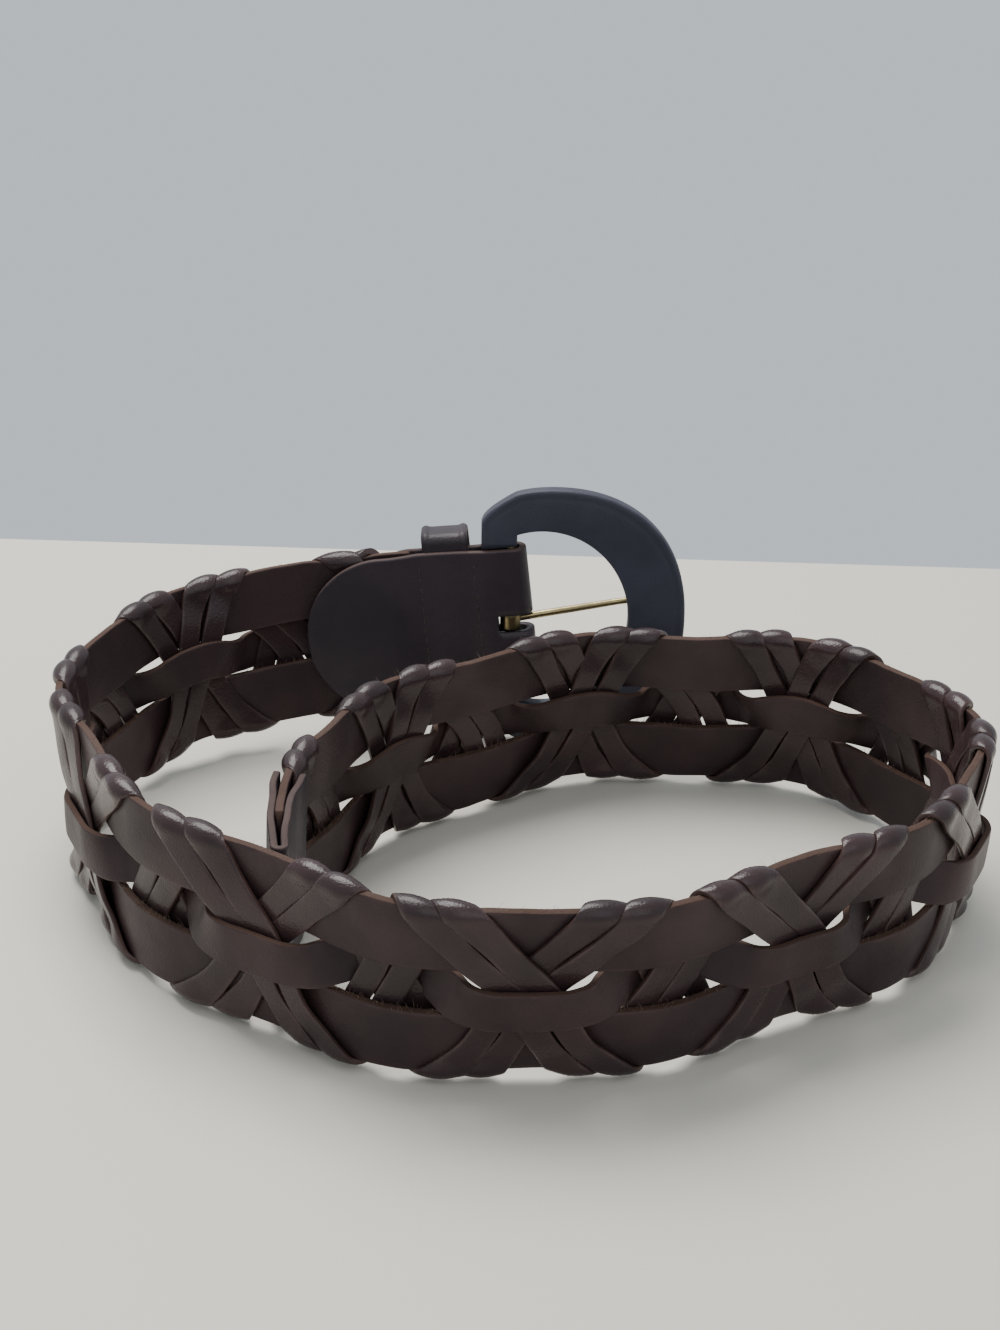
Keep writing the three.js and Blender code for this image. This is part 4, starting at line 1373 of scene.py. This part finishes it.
@dataclass
class Buckle(BeltPiece):
    """The covered D-shaped frame, its bar and the brass prong. Front is away from the belt."""

    lay: BeltLay
    cover: Material
    brass: Material
    place: tuple[float, float, float] = (-1.085326, 95.308993, 44.305402)
    turn: float = 0.0102233
    section: Section = Section(14.0, 4.5, corner=0.8, crown=0.2, face_steps=24, corner_steps=5)
    half_length: float = 43.7
    half_height: float = 44.3
    fullness: float = 2.25
    centre: float = 12.7
    arc_end: float = 105.0
    heel_front: float = 1.8
    heel_back: float = -9.7
    heel_corner_up: float = 33.2
    corner_bend: tuple[float, float] = (0.4, 3.5)
    opening_centre: float = 10.0
    opening_half_length: float = 28.0
    opening_half_height: float = 30.3
    heel_clear: float = 0.8
    keeper_clear: float = 4.1
    bow_points: int = 120
    corner_points: int = 9
    arc_points: int = 241
    opening_points: int = 181
    heel_points: int = 5
    run_step: float = 1.5
    groove_depth: float = 0.14
    groove_place: float = 2.6
    groove_width: float = 0.5
    cover_low: float = -1.0
    cover_high: float = 51.0
    bar_behind_fold: float = 7.6
    bar_radius: float = 1.8
    bar_in_frame: float = 1.0
    bar_rings: int = 9
    round_sides: int = 24
    prong_radius: float = 1.2
    prong_tip_radius: float = 0.8
    prong_length: float = 49.0
    prong_height: float = 26.2
    prong_rise: float = 6.2
    prong_above_frame: float = 0.5
    prong_rests_before: float = 3.0
    prong_rings: int = 60
    tip_rings: int = 6
    tip_length: float = 0.7
    least_round: float = 0.0004
    curl_section: Section = Section(5.2, 1.2, corner=0.4, crown=0.05, face_steps=6)
    curl_drop: float = 0.8
    curl_clear: float = 0.3
    curl_steps: int = 48
    root_in_curl: float = 0.4

    def to_frame(self, local: Array) -> Array:
        """Turns points of the buckle into points in the frame.

        Args:
            local: points front, out and up in mm.

        Returns:
            Points x, y and z in mm.
        """
        cos, sin = math.cos(self.turn), math.sin(self.turn)
        x = self.place[0] + cos * local[..., 0] - sin * local[..., 1]
        y = self.place[1] + sin * local[..., 0] + cos * local[..., 1]
        return stacked(x, y, self.place[2] + local[..., 2])

    def height_at(self, front: float, up: float) -> float:
        """Height of a place on the belt above the middle of the frame, at a distance before the bar."""
        point = self.lay.place(np.array(self.bar_behind_fold - front), np.array(up), np.array(0.0))
        return float(point[2]) - self.place[2]

    def bow_edge(self, angle: Array) -> Array:
        """Outer edge of the bow at angles from the front.

        It is c + a sgn(cos) |cos|^p and b sgn(sin) |sin|^p, where p is 1 behind the middle, which makes half
        an ellipse, and less in front, which makes a fuller oval.

        Args:
            angle: angles from the front in radians.

        Returns:
            Points with their distances front and up.
        """
        power = np.where(np.cos(angle) > 0.0, 2.0 / self.fullness, 1.0)
        front = np.sign(np.cos(angle)) * np.abs(np.cos(angle)) ** power
        up = np.sign(np.sin(angle)) * np.abs(np.sin(angle)) ** power
        return stacked(self.centre + self.half_length * front, self.half_height * up)

    def outer_bow(self) -> Array:
        """Outer edge from the upper to the lower corner of the heel, whose corners are quadratic curves.

        Returns:
            Points with their distances front and up.
        """
        end = math.radians(self.arc_end)
        corner = np.array([self.heel_back, self.heel_corner_up])
        bend = corner + np.array(self.corner_bend)
        t = np.linspace(0.0, 1.0, self.corner_points)[:, None]
        curve = (1 - t) ** 2 * corner + 2 * t * (1 - t) * bend + t**2 * self.bow_edge(np.array(end))
        arc = self.bow_edge(np.linspace(end, -end, self.arc_points)[1:-1])
        return np.concatenate([curve, arc, curve[::-1] * np.array([1.0, -1.0])])

    def inner_bow(self) -> Array:
        """Edge of the opening from the top to the foot of the heel's front: part of an ellipse.

        Returns:
            Points with their distances front and up.
        """
        heel = math.acos((self.heel_front - self.opening_centre) / self.opening_half_length)
        angle = np.linspace(heel, -heel, self.opening_points)
        front = self.opening_centre + self.opening_half_length * np.cos(angle)
        return stacked(front, self.opening_half_height * np.sin(angle))

    def outline(self, bow: Array, front: float, upper: float, lower: float) -> Array:
        """Outline of the frame from its upper heel round the bow to its lower heel.

        It is cut into equal lengths within the heel and within the bow, so that the points of the outer and
        of the inner outline face each other.

        Args:
            bow: points of the bow's edge.
            front: place of the heel's edge.
            upper: height where the upper heel ends at the belt.
            lower: height where the lower heel ends at the belt.

        Returns:
            Points with their distances front and up.
        """
        lengths = lengths_along(bow)
        even = interpolated(np.linspace(0.0, lengths[-1], self.bow_points), lengths, bow)
        above = np.linspace(upper, even[0, 1], self.heel_points)[:-1]
        below = np.linspace(even[-1, 1], lower, self.heel_points)[1:]
        return np.concatenate([stacked(front, above), even, stacked(front, below)])

    def outlines(self) -> tuple[Array, Array]:
        """Works out both outlines of the frame, clear of the cover and of the keeper.

        Returns:
            The outer and the inner outline.
        """
        found = []
        for bow, front, clear_below in (
            (self.outer_bow(), self.heel_back, self.keeper_clear),
            (self.inner_bow(), self.heel_front, self.heel_clear),
        ):
            upper = self.height_at(front, self.cover_high) + self.heel_clear
            lower = self.height_at(front, self.cover_low) - clear_below
            found.append(self.outline(bow, front, upper, lower))
        return found[0], found[1]

    def build_frame(self) -> None:
        """Builds the frame: a padded flat section between the two outlines, with rounded rims.

        A groove g exp(-((d - p) / w)^2) runs along both faces, where d is the distance from the outer edge.
        """
        outer, inner = self.outlines()
        ring = self.section.ring()
        width = np.linalg.norm(outer - inner, axis=1)[:, None]
        share = np.clip(ring.spread(width / 2) / width, -0.5, 0.5)
        flat = ((outer + inner) / 2)[:, None, :] + share[..., None] * (outer - inner)[:, None, :]
        from_edge = width * (0.5 - share)
        groove = self.groove_depth * np.exp(-(((from_edge - self.groove_place) / self.groove_width) ** 2))
        out = ring.height - np.where(ring.outer, groove, -groove)
        points = self.to_frame(stacked(flat[..., 0], out, flat[..., 1]))
        run = self.run_step * np.arange(len(outer))
        surface = ring.skin(points, run, share * width)
        name = "buckle_frame"
        self.add_piece(name + "_leather", surface, self.cover, Body.FRAME, "frame_leather", name)

    def rod(self, middle: Array, radius: Array, first: Array, second: Array) -> Surface:
        """A round rod, C(i) + r(i) (cos b P + sin b Q).

        Args:
            middle: points of its middle line, front, out and up.
            radius: its radius at each of them.
            first: the direction P.
            second: the direction Q.

        Returns:
            Its surface.
        """
        b = np.linspace(0.0, 2.0 * math.pi, self.round_sides + 1)[:-1, None]
        around = np.cos(b) * first + np.sin(b) * second
        return tube(self.to_frame(middle[:, None, :] + radius[:, None, None] * around))

    def build_bar(self) -> None:
        """Builds the bar: a round rod carried straight up, its ends sunk in the frame."""
        reach = self.opening_half_height + self.bar_in_frame
        middle = np.linspace(-reach, reach, self.bar_rings)[:, None] * UP
        surface = self.rod(middle, np.full(self.bar_rings, self.bar_radius), FRONT, OUT)
        self.add_piece("buckle_bar", surface, self.brass, Body.FRAME, BRASS_SLOT)

    def build_prong(self) -> None:
        """Builds the prong: a tapered rod that rises to rest on the bow, and its curl round the bar."""
        height = self.height_at(0.0, self.prong_height)
        inner = self.bar_radius + self.curl_clear
        root = inner + self.curl_section.thick * self.root_in_curl
        rest_out = self.section.thick / 2 + self.prong_above_frame + self.prong_radius
        rest_front = self.opening_centre + self.opening_half_length - self.prong_rests_before
        share = np.linspace(0.0, 1.0, self.prong_rings)
        front = root + (self.prong_length - root) * share
        out = rest_out * np.minimum(1.0, (front - root) / (rest_front - root))
        middle = stacked(front, out, height + self.prong_rise * share)
        radius = self.prong_radius + (self.prong_tip_radius - self.prong_radius) * share**3
        past = np.linspace(0.0, 1.0, self.tip_rings + 1)[1:]
        tip = middle[-1] + (self.tip_length * self.prong_tip_radius * past)[:, None] * FRONT
        tip_radius = self.prong_tip_radius * np.sqrt(np.clip(1.0 - past**2, self.least_round, 1.0))
        surface = self.rod(np.concatenate([middle, tip]), np.concatenate([radius, tip_radius]), OUT, UP)
        self.add_piece("prong_rod", surface, self.brass, Body.PRONG, BRASS_SLOT, "buckle_prong")
        ring = self.curl_section.ring()
        turn = np.linspace(0.0, 2.0 * math.pi, self.curl_steps + 1)[:-1, None]
        curl_radius = inner + self.curl_section.thick / 2 + ring.height
        up = height - self.curl_drop + ring.spread(self.curl_section.width / 2)
        local = stacked(curl_radius * np.cos(turn), curl_radius * np.sin(turn), up)
        surface = tube(self.to_frame(local), looped=True)
        self.add_piece("prong_curl", surface, self.brass, Body.PRONG, BRASS_SLOT, "buckle_prong")

    def build(self) -> None:
        """Builds the frame, its bar and the prong."""
        self.build_frame()
        self.build_bar()
        self.build_prong()


@dataclass(frozen=True)
class Pattern:
    """Noise of one scale and detail, whose values from low to high are stretched over 0 to 1."""

    scale: float
    detail: float
    low: float
    high: float


class Wire:
    """Short ways to place and join shader nodes in one tree."""

    def __init__(self, tree: NodeTree) -> None:
        """Keeps the tree that nodes go into."""
        self.tree = tree

    def feed(self, socket: NodeSocket, value: object) -> None:
        """Gives an input its value.

        Args:
            socket: the input.
            value: another node's output, a number or a colour.
        """
        if isinstance(value, NodeSocket):
            self.tree.links.new(value, socket)
        else:
            socket.default_value = (*value, 1.0) if isinstance(value, tuple) else value

    def add(self, kind: str, inputs: Inputs | None = None, **settings: object) -> Node:
        """Adds a node, sets its properties and feeds its inputs.

        Args:
            kind: its type.
            inputs: what goes into its inputs, by name or number.
            **settings: its properties by name.

        Returns:
            The node.
        """
        node = self.tree.nodes.new(kind)
        for name, value in settings.items():
            setattr(node, name, value)
        for name, value in (inputs or {}).items():
            self.feed(node.inputs[name], value)
        return node

    def math(self, operation: str, *values: object, clamp: bool = False) -> NodeSocket:
        """Works a Math operation out on sockets or numbers."""
        inputs = dict(enumerate(values))
        return self.add("ShaderNodeMath", inputs, operation=operation, use_clamp=clamp).outputs[0]

    def vector_math(self, operation: str, inputs: Inputs) -> NodeSocket:
        """Works a Vector Math operation out."""
        return self.add("ShaderNodeVectorMath", inputs, operation=operation).outputs[0]

    def mix(self, share: object, first: object, second: object) -> NodeSocket:
        """Mixes two colours, sockets or values, by a share from 0 to 1."""
        inputs = {"Factor": share, 6: first, 7: second}
        return self.add("ShaderNodeMix", inputs, data_type="RGBA").outputs[2]

    def noise(self, vector: NodeSocket, scale: float, detail: float = 3.0) -> NodeSocket:
        """Adds a noise texture and gives its value."""
        inputs = {"Vector": vector, "Scale": scale, "Detail": detail}
        return self.add("ShaderNodeTexNoise", inputs).outputs["Fac"]

    def ramp(self, value: NodeSocket, low: float, high: float) -> NodeSocket:
        """Stretches the values between low and high smoothly over 0 to 1."""
        inputs = {"Value": value, "From Min": low, "From Max": high}
        return self.add("ShaderNodeMapRange", inputs, interpolation_type="SMOOTHSTEP").outputs["Result"]

    def patches(self, vector: NodeSocket, pattern: Pattern) -> NodeSocket:
        """Adds a noise pattern and gives its stretched value."""
        return self.ramp(self.noise(vector, pattern.scale, pattern.detail), pattern.low, pattern.high)


class EffectGroup(Wire):
    """A shader node group with a Vector, one value that steers it, and values for its outputs."""

    def __init__(self, name: str, steering: str, outputs: tuple[str, ...]) -> None:
        """Starts the group.

        Args:
            name: its name.
            steering: name of the value that steers it.
            outputs: names of its outputs.
        """
        super().__init__(bpy.data.node_groups.new(name, "ShaderNodeTree"))
        sockets = self.tree.interface
        sockets.new_socket("Vector", in_out="INPUT", socket_type="NodeSocketVector")
        sockets.new_socket(steering, in_out="INPUT", socket_type="NodeSocketFloat")
        for label in outputs:
            sockets.new_socket(label, in_out="OUTPUT", socket_type="NodeSocketFloat")
        given = self.add("NodeGroupInput").outputs
        self.vector = given["Vector"]
        self.steering = given[steering]
        self.made = self.add("NodeGroupOutput").inputs


@dataclass
class LeatherEffects:
    """Shader groups that all the leathers share: grain, raw cut edge, and burnished wear with a painted
    highlight along the rims.
    """

    bend_scale: float = 260.0
    bend_size: float = 0.0016
    cell_smoothness: float = 0.4
    pebble_power: float = 1.5
    pebble_share: float = 0.7
    creases: Pattern = Pattern(150.0, 5.0, 0.38, 0.62)
    tones: Pattern = Pattern(38.0, 4.0, 0.3, 0.7)
    fray_scale: float = 900.0
    fray_share: float = 0.9
    fray_range: tuple[float, float] = (0.35, 0.75)
    fibre_scale: float = 1600.0
    fibre_detail: float = 4.0
    # Noise that breaks up the lighter rims, which are a painted highlight and burnished wear.
    wear_and_highlight_noise: Pattern = Pattern(120.0, 4.0, 0.38, 0.68)
    grain: NodeTree = field(init=False)
    edge: NodeTree = field(init=False)
    wear_and_highlight: NodeTree = field(init=False)

    def __post_init__(self) -> None:
        """Builds each group once."""
        self.grain = self.make_grain()
        self.edge = self.make_edge()
        self.wear_and_highlight = self.make_wear_and_highlight()

    def make_grain(self) -> NodeTree:
        """Fine pebbled grain: cells of a Voronoi pattern bent by noise, with longer creases over them.

        Returns:
            The group.
        """
        group = EffectGroup("leather_grain", "Cells", ("Height", "Tone"))
        inputs = {"Vector": group.vector, "Scale": self.bend_scale}
        bend = group.add("ShaderNodeTexNoise", inputs).outputs["Color"]
        shift = group.vector_math("SCALE", {0: bend, "Scale": self.bend_size})
        bent = group.vector_math("ADD", {0: group.vector, 1: shift})
        inputs = {"Vector": bent, "Scale": group.steering, "Smoothness": self.cell_smoothness}
        cells = group.add("ShaderNodeTexVoronoi", inputs, feature="SMOOTH_F1").outputs["Distance"]
        pebble = group.math("SUBTRACT", 1.0, group.math("POWER", cells, self.pebble_power), clamp=True)
        crease = group.patches(group.vector, self.creases)
        shares = (self.pebble_share, 1.0 - self.pebble_share)
        parts = [group.math("MULTIPLY", part, share) for part, share in zip((pebble, crease), shares)]
        group.feed(group.made["Height"], group.math("ADD", *parts))
        group.feed(group.made["Tone"], group.patches(group.vector, self.tones))
        return group.tree

    def make_edge(self) -> NodeTree:
        """Raw edge: where the cut-edge mask is high, frayed by noise, and the relief of its fibres.

        Returns:
            The group.
        """
        group = EffectGroup("leather_raw_edge", "Cut", ("Mask", "Fibres"))
        fray = group.math("SUBTRACT", group.noise(group.vector, self.fray_scale), 0.5)
        broken = group.math("ADD", group.steering, group.math("MULTIPLY", fray, self.fray_share))
        group.feed(group.made["Mask"], group.ramp(broken, *self.fray_range))
        fibres = group.noise(group.vector, self.fibre_scale, self.fibre_detail)
        group.feed(group.made["Fibres"], fibres)
        return group.tree

    def make_wear_and_highlight(self) -> NodeTree:
        """Burnished wear and a painted highlight along rims: the rim mask, broken up by noise.

        Returns:
            The group.
        """
        group = EffectGroup("leather_wear_and_highlight", "Rim", ("WearAndHighlight",))
        # The rim mask lightens the rims: a painted highlight, and burnished wear.
        rub = group.math("MULTIPLY", group.steering, group.patches(group.vector, self.wear_and_highlight_noise))
        group.feed(group.made["WearAndHighlight"], rub)
        return group.tree


class MaterialWire(Wire):
    """A new material: its tree and the inputs of its Principled shader."""

    def __init__(self, name: str) -> None:
        """Makes the material.

        Args:
            name: its name.
        """
        self.material = bpy.data.materials.new(name)
        self.material.use_nodes = True
        super().__init__(self.material.node_tree)
        self.shader = self.tree.nodes["Principled BSDF"].inputs

    def dress(self, **inputs: object) -> Material:
        """Feeds inputs of the shader, whose names have underscores here for spaces.

        Args:
            **inputs: outputs of other nodes, numbers or colours.

        Returns:
            The material.
        """
        for name, value in inputs.items():
            self.feed(self.shader[name.replace("_", " ")], value)
        return self.material

    def place(self) -> NodeSocket:
        """Gives the Object coordinates."""
        return self.add("ShaderNodeTexCoord").outputs["Object"]


@dataclass(frozen=True)
class LeatherFinish:
    """A leather: its colours, gloss and relief. Its patterns follow Object coordinates."""

    name: str
    base: Colour = (0.041, 0.0228, 0.0240)
    dark: Colour = (0.0215, 0.0124, 0.0138)
    raw: Colour = (0.080, 0.043, 0.029)
    # Lighter colour of the rims: a painted highlight, and burnished wear.
    rim_wear_and_highlight: Colour = (0.11, 0.068, 0.061)
    rough_low: float = 0.36
    rough_high: float = 0.52
    raw_rougher: float = 0.4
    cells: float = 1500.0
    relief: float = 0.00009
    raw_share: float = 0.85
    raw_darkest: float = 0.55
    # How strongly the rims are lightened by the painted highlight and the wear.
    wear_and_highlight_share: float = 0.25
    coat: float = 0.0
    coat_roughness: float = 0.14
    specular: float = 0.25

    def build(self, effects: LeatherEffects) -> Material:
        """Builds the material.

        Args:
            effects: the shared shader groups.

        Returns:
            The material, which reads the masks cut and rim.
        """
        wire = MaterialWire(self.name)
        place = wire.place()
        cut = wire.add("ShaderNodeAttribute", attribute_name="cut").outputs["Fac"]
        rim = wire.add("ShaderNodeAttribute", attribute_name="rim").outputs["Fac"]
        trees = (effects.grain, effects.edge, effects.wear_and_highlight)
        grain, edge, wear_and_highlight = (wire.add("ShaderNodeGroup", node_tree=tree) for tree in trees)
        for group, value in ((grain, self.cells), (edge, cut), (wear_and_highlight, rim)):
            wire.feed(group.inputs[0], place)
            wire.feed(group.inputs[1], value)
        tone = wire.mix(grain.outputs["Tone"], self.dark, self.base)
        # Lightens the rims with the painted highlight and the burnished wear.
        with_wear_and_highlight = wire.mix(wire.math("MULTIPLY", wear_and_highlight.outputs["WearAndHighlight"], self.wear_and_highlight_share), tone, self.rim_wear_and_highlight)
        raw_mask = wire.math("MULTIPLY", edge.outputs["Mask"], self.raw_share)
        raw_dark = tuple(value * self.raw_darkest for value in self.raw)
        raw_tone = wire.mix(edge.outputs["Fibres"], raw_dark, self.raw)
        inputs = {"Value": grain.outputs["Tone"], "To Min": self.rough_high, "To Max": self.rough_low}
        gloss = wire.add("ShaderNodeMapRange", inputs).outputs["Result"]
        rougher = wire.math("MULTIPLY", raw_mask, self.raw_rougher)
        fibres = wire.math("MULTIPLY", raw_mask, edge.outputs["Fibres"])
        inputs = {
            "Strength": 1.0,
            "Distance": self.relief,
            "Height": wire.math("ADD", grain.outputs["Height"], fibres),
        }
        return wire.dress(
            Base_Color=wire.mix(raw_mask, with_wear_and_highlight, raw_tone),
            Roughness=wire.math("ADD", gloss, rougher, clamp=True),
            Specular_IOR_Level=self.specular,
            Coat_Weight=self.coat,
            Coat_Roughness=self.coat_roughness,
            Normal=wire.add("ShaderNodeBump", inputs).outputs["Normal"],
        )


@dataclass(frozen=True)
class BrassFinish:
    """Darkened brass: bright where polished by use, brown in patches."""

    name: str = "antique_brass"
    bright: Colour = (0.33, 0.27, 0.14)
    dull: Colour = (0.20, 0.165, 0.09)
    patches: Pattern = Pattern(160.0, 3.0, 0.3, 0.7)
    rough: float = 0.5
    smoother: float = 0.22

    def build(self) -> Material:
        """Builds the material.

        Returns:
            The material.
        """
        wire = MaterialWire(self.name)
        patches = wire.patches(wire.place(), self.patches)
        return wire.dress(
            Base_Color=wire.mix(patches, self.dull, self.bright),
            Roughness=wire.math("SUBTRACT", self.rough, wire.math("MULTIPLY", patches, self.smoother)),
            Metallic=1.0,
        )


@dataclass(frozen=True)
class ThreadFinish:
    """Waxed brown thread, or the loose fibres of a raw edge."""

    name: str = "waxed_thread"
    light: Colour = (0.052, 0.035, 0.031)
    dark: Colour = (0.02, 0.013, 0.012)
    scale: float = 1500.0
    rough: float = 0.6

    def build(self) -> Material:
        """Builds the material.

        Returns:
            The material.
        """
        wire = MaterialWire(self.name)
        tone = wire.mix(wire.noise(wire.place(), self.scale), self.dark, self.light)
        return wire.dress(Base_Color=tone, Roughness=self.rough)


@dataclass(frozen=True)
class SoftLight:
    """A soft square light that looks at the belt: where it hangs and its side in metres, and its power."""

    name: str
    place: tuple[float, float, float]
    side: float
    watts: float
    colour: Colour = (1.0, 0.98, 0.96)
    aim: tuple[float, float, float] = (0.0, 0.0, 0.03)

    def build(self) -> None:
        """Hangs the light."""
        lamp = bpy.data.lights.new(self.name, "AREA")
        lamp.size = self.side
        lamp.energy = self.watts
        lamp.color = self.colour
        piece = bpy.data.objects.new(self.name, lamp)
        piece.location = self.place
        sight = Vector(self.aim) - Vector(self.place)
        piece.rotation_euler = sight.to_track_quat("-Z", "Y").to_euler()
        bpy.context.scene.collection.objects.link(piece)


@dataclass(frozen=True)
class Studio:
    """Floor, soft lights and the camera of the photograph. Lengths are in metres, angles in degrees."""

    floor_reach: float = 3.0
    floor_back: float = 0.258
    floor_skew: float = 0.13
    floor_colour: Colour = (0.62, 0.585, 0.515)
    floor_rough: float = 0.55
    wall_colour: Colour = (0.64, 0.70, 0.75)
    eye: tuple[float, float, float] = (-0.00424, -0.55798, 0.33156)
    pitch: float = 25.0
    roll: float = 0.8
    lens: float = 59.55
    sensor: float = 36.0
    nearest: float = 0.02
    lights: tuple[SoftLight, ...] = (
        SoftLight("window", (-0.25, 0.35, 0.95), side=0.7, watts=17.0),
        SoftLight("fill", (0.4, -1.1, 1.0), side=1.2, watts=4.0),
    )

    def floor(self) -> None:
        """Lays the plain pale floor, which ends behind the belt as the table does."""
        reach = self.floor_reach
        left = (-reach, self.floor_back + self.floor_skew, 0.0)
        right = (reach, self.floor_back - self.floor_skew, 0.0)
        mesh = bpy.data.meshes.new("floor")
        mesh.from_pydata([(-reach, -reach, 0.0), (reach, -reach, 0.0), right, left], [], [(0, 1, 2, 3)])
        piece = bpy.data.objects.new("floor", mesh)
        bpy.context.scene.collection.objects.link(piece)
        material = MaterialWire("pale_floor").dress(Base_Color=self.floor_colour, Roughness=self.floor_rough)
        mesh.materials.append(material)

    def world(self) -> None:
        """Sets the pale blue-grey of the wall and the room's soft light."""
        world = bpy.data.worlds.new("room")
        world.use_nodes = True
        background = world.node_tree.nodes["Background"].inputs
        background["Color"].default_value = (*self.wall_colour, 1.0)
        background["Strength"].default_value = 1.0
        bpy.context.scene.world = world

    def camera(self) -> None:
        """Stands the camera where the photograph was taken from."""
        lens = bpy.data.cameras.new("photograph")
        lens.sensor_fit = "VERTICAL"
        lens.sensor_height = self.sensor
        lens.lens = self.lens
        lens.clip_start = self.nearest
        piece = bpy.data.objects.new("photograph", lens)
        tilt = Matrix.Rotation(math.radians(90.0 - self.pitch), 4, "X")
        roll = Matrix.Rotation(math.radians(self.roll), 4, "Z")
        piece.matrix_world = Matrix.Translation(self.eye) @ tilt @ roll
        bpy.context.scene.collection.objects.link(piece)
        bpy.context.scene.camera = piece

    def build(self) -> None:
        """Sets up the whole studio."""
        self.camera()
        self.floor()
        self.world()
        for light in self.lights:
            light.build()


def main() -> None:
    """Builds the finishes, the belt's sub-assemblies and the studio."""
    logging.basicConfig(level=logging.INFO, format="%(name)s %(message)s")
    effects = LeatherEffects()
    strap_leather = LeatherFinish("strap_leather").build(effects)
    thong_leather = LeatherFinish(
        "thong_leather",
        rough_low=0.22,
        rough_high=0.38,
        relief=0.00011,
        raw_share=0.35,
        wear_and_highlight_share=0.35,
        coat=0.13,
        specular=0.24,
    ).build(effects)
    end_leather = LeatherFinish(
        "end_leather",
        base=(0.042, 0.0315, 0.0385),
        dark=(0.025, 0.019, 0.0245),
        cells=1400.0,
        raw_share=0.55,
    ).build(effects)
    thread = ThreadFinish().build()
    brass = BrassFinish().build()
    fibres = ThreadFinish("loose_fibres", light=(0.22, 0.15, 0.11), dark=(0.09, 0.055, 0.04)).build()
    frame_leather = LeatherFinish(
        "frame_leather",
        base=(0.054, 0.056, 0.077),
        dark=(0.037, 0.038, 0.054),
        raw=(0.03, 0.03, 0.036),
        # Blue-grey rims: a painted highlight, and wear.
        rim_wear_and_highlight=(0.10, 0.10, 0.12),
        rough_low=0.46,
        rough_high=0.58,
        cells=1700.0,
        relief=0.00006,
        raw_share=0.0,
        wear_and_highlight_share=0.2,
        specular=0.3,
    ).build(effects)
    lay = BeltLay()
    Straps(lay, strap_leather).build()
    EdgeFibres(lay, fibres).build()
    Thongs(lay, thong_leather).build()
    FoldedEnds(lay, end_leather, thread).build()
    Keeper(lay, end_leather, thread).build()
    Buckle(lay, frame_leather, brass).build()
    Studio().build()


if __name__ == "__main__":
    main()
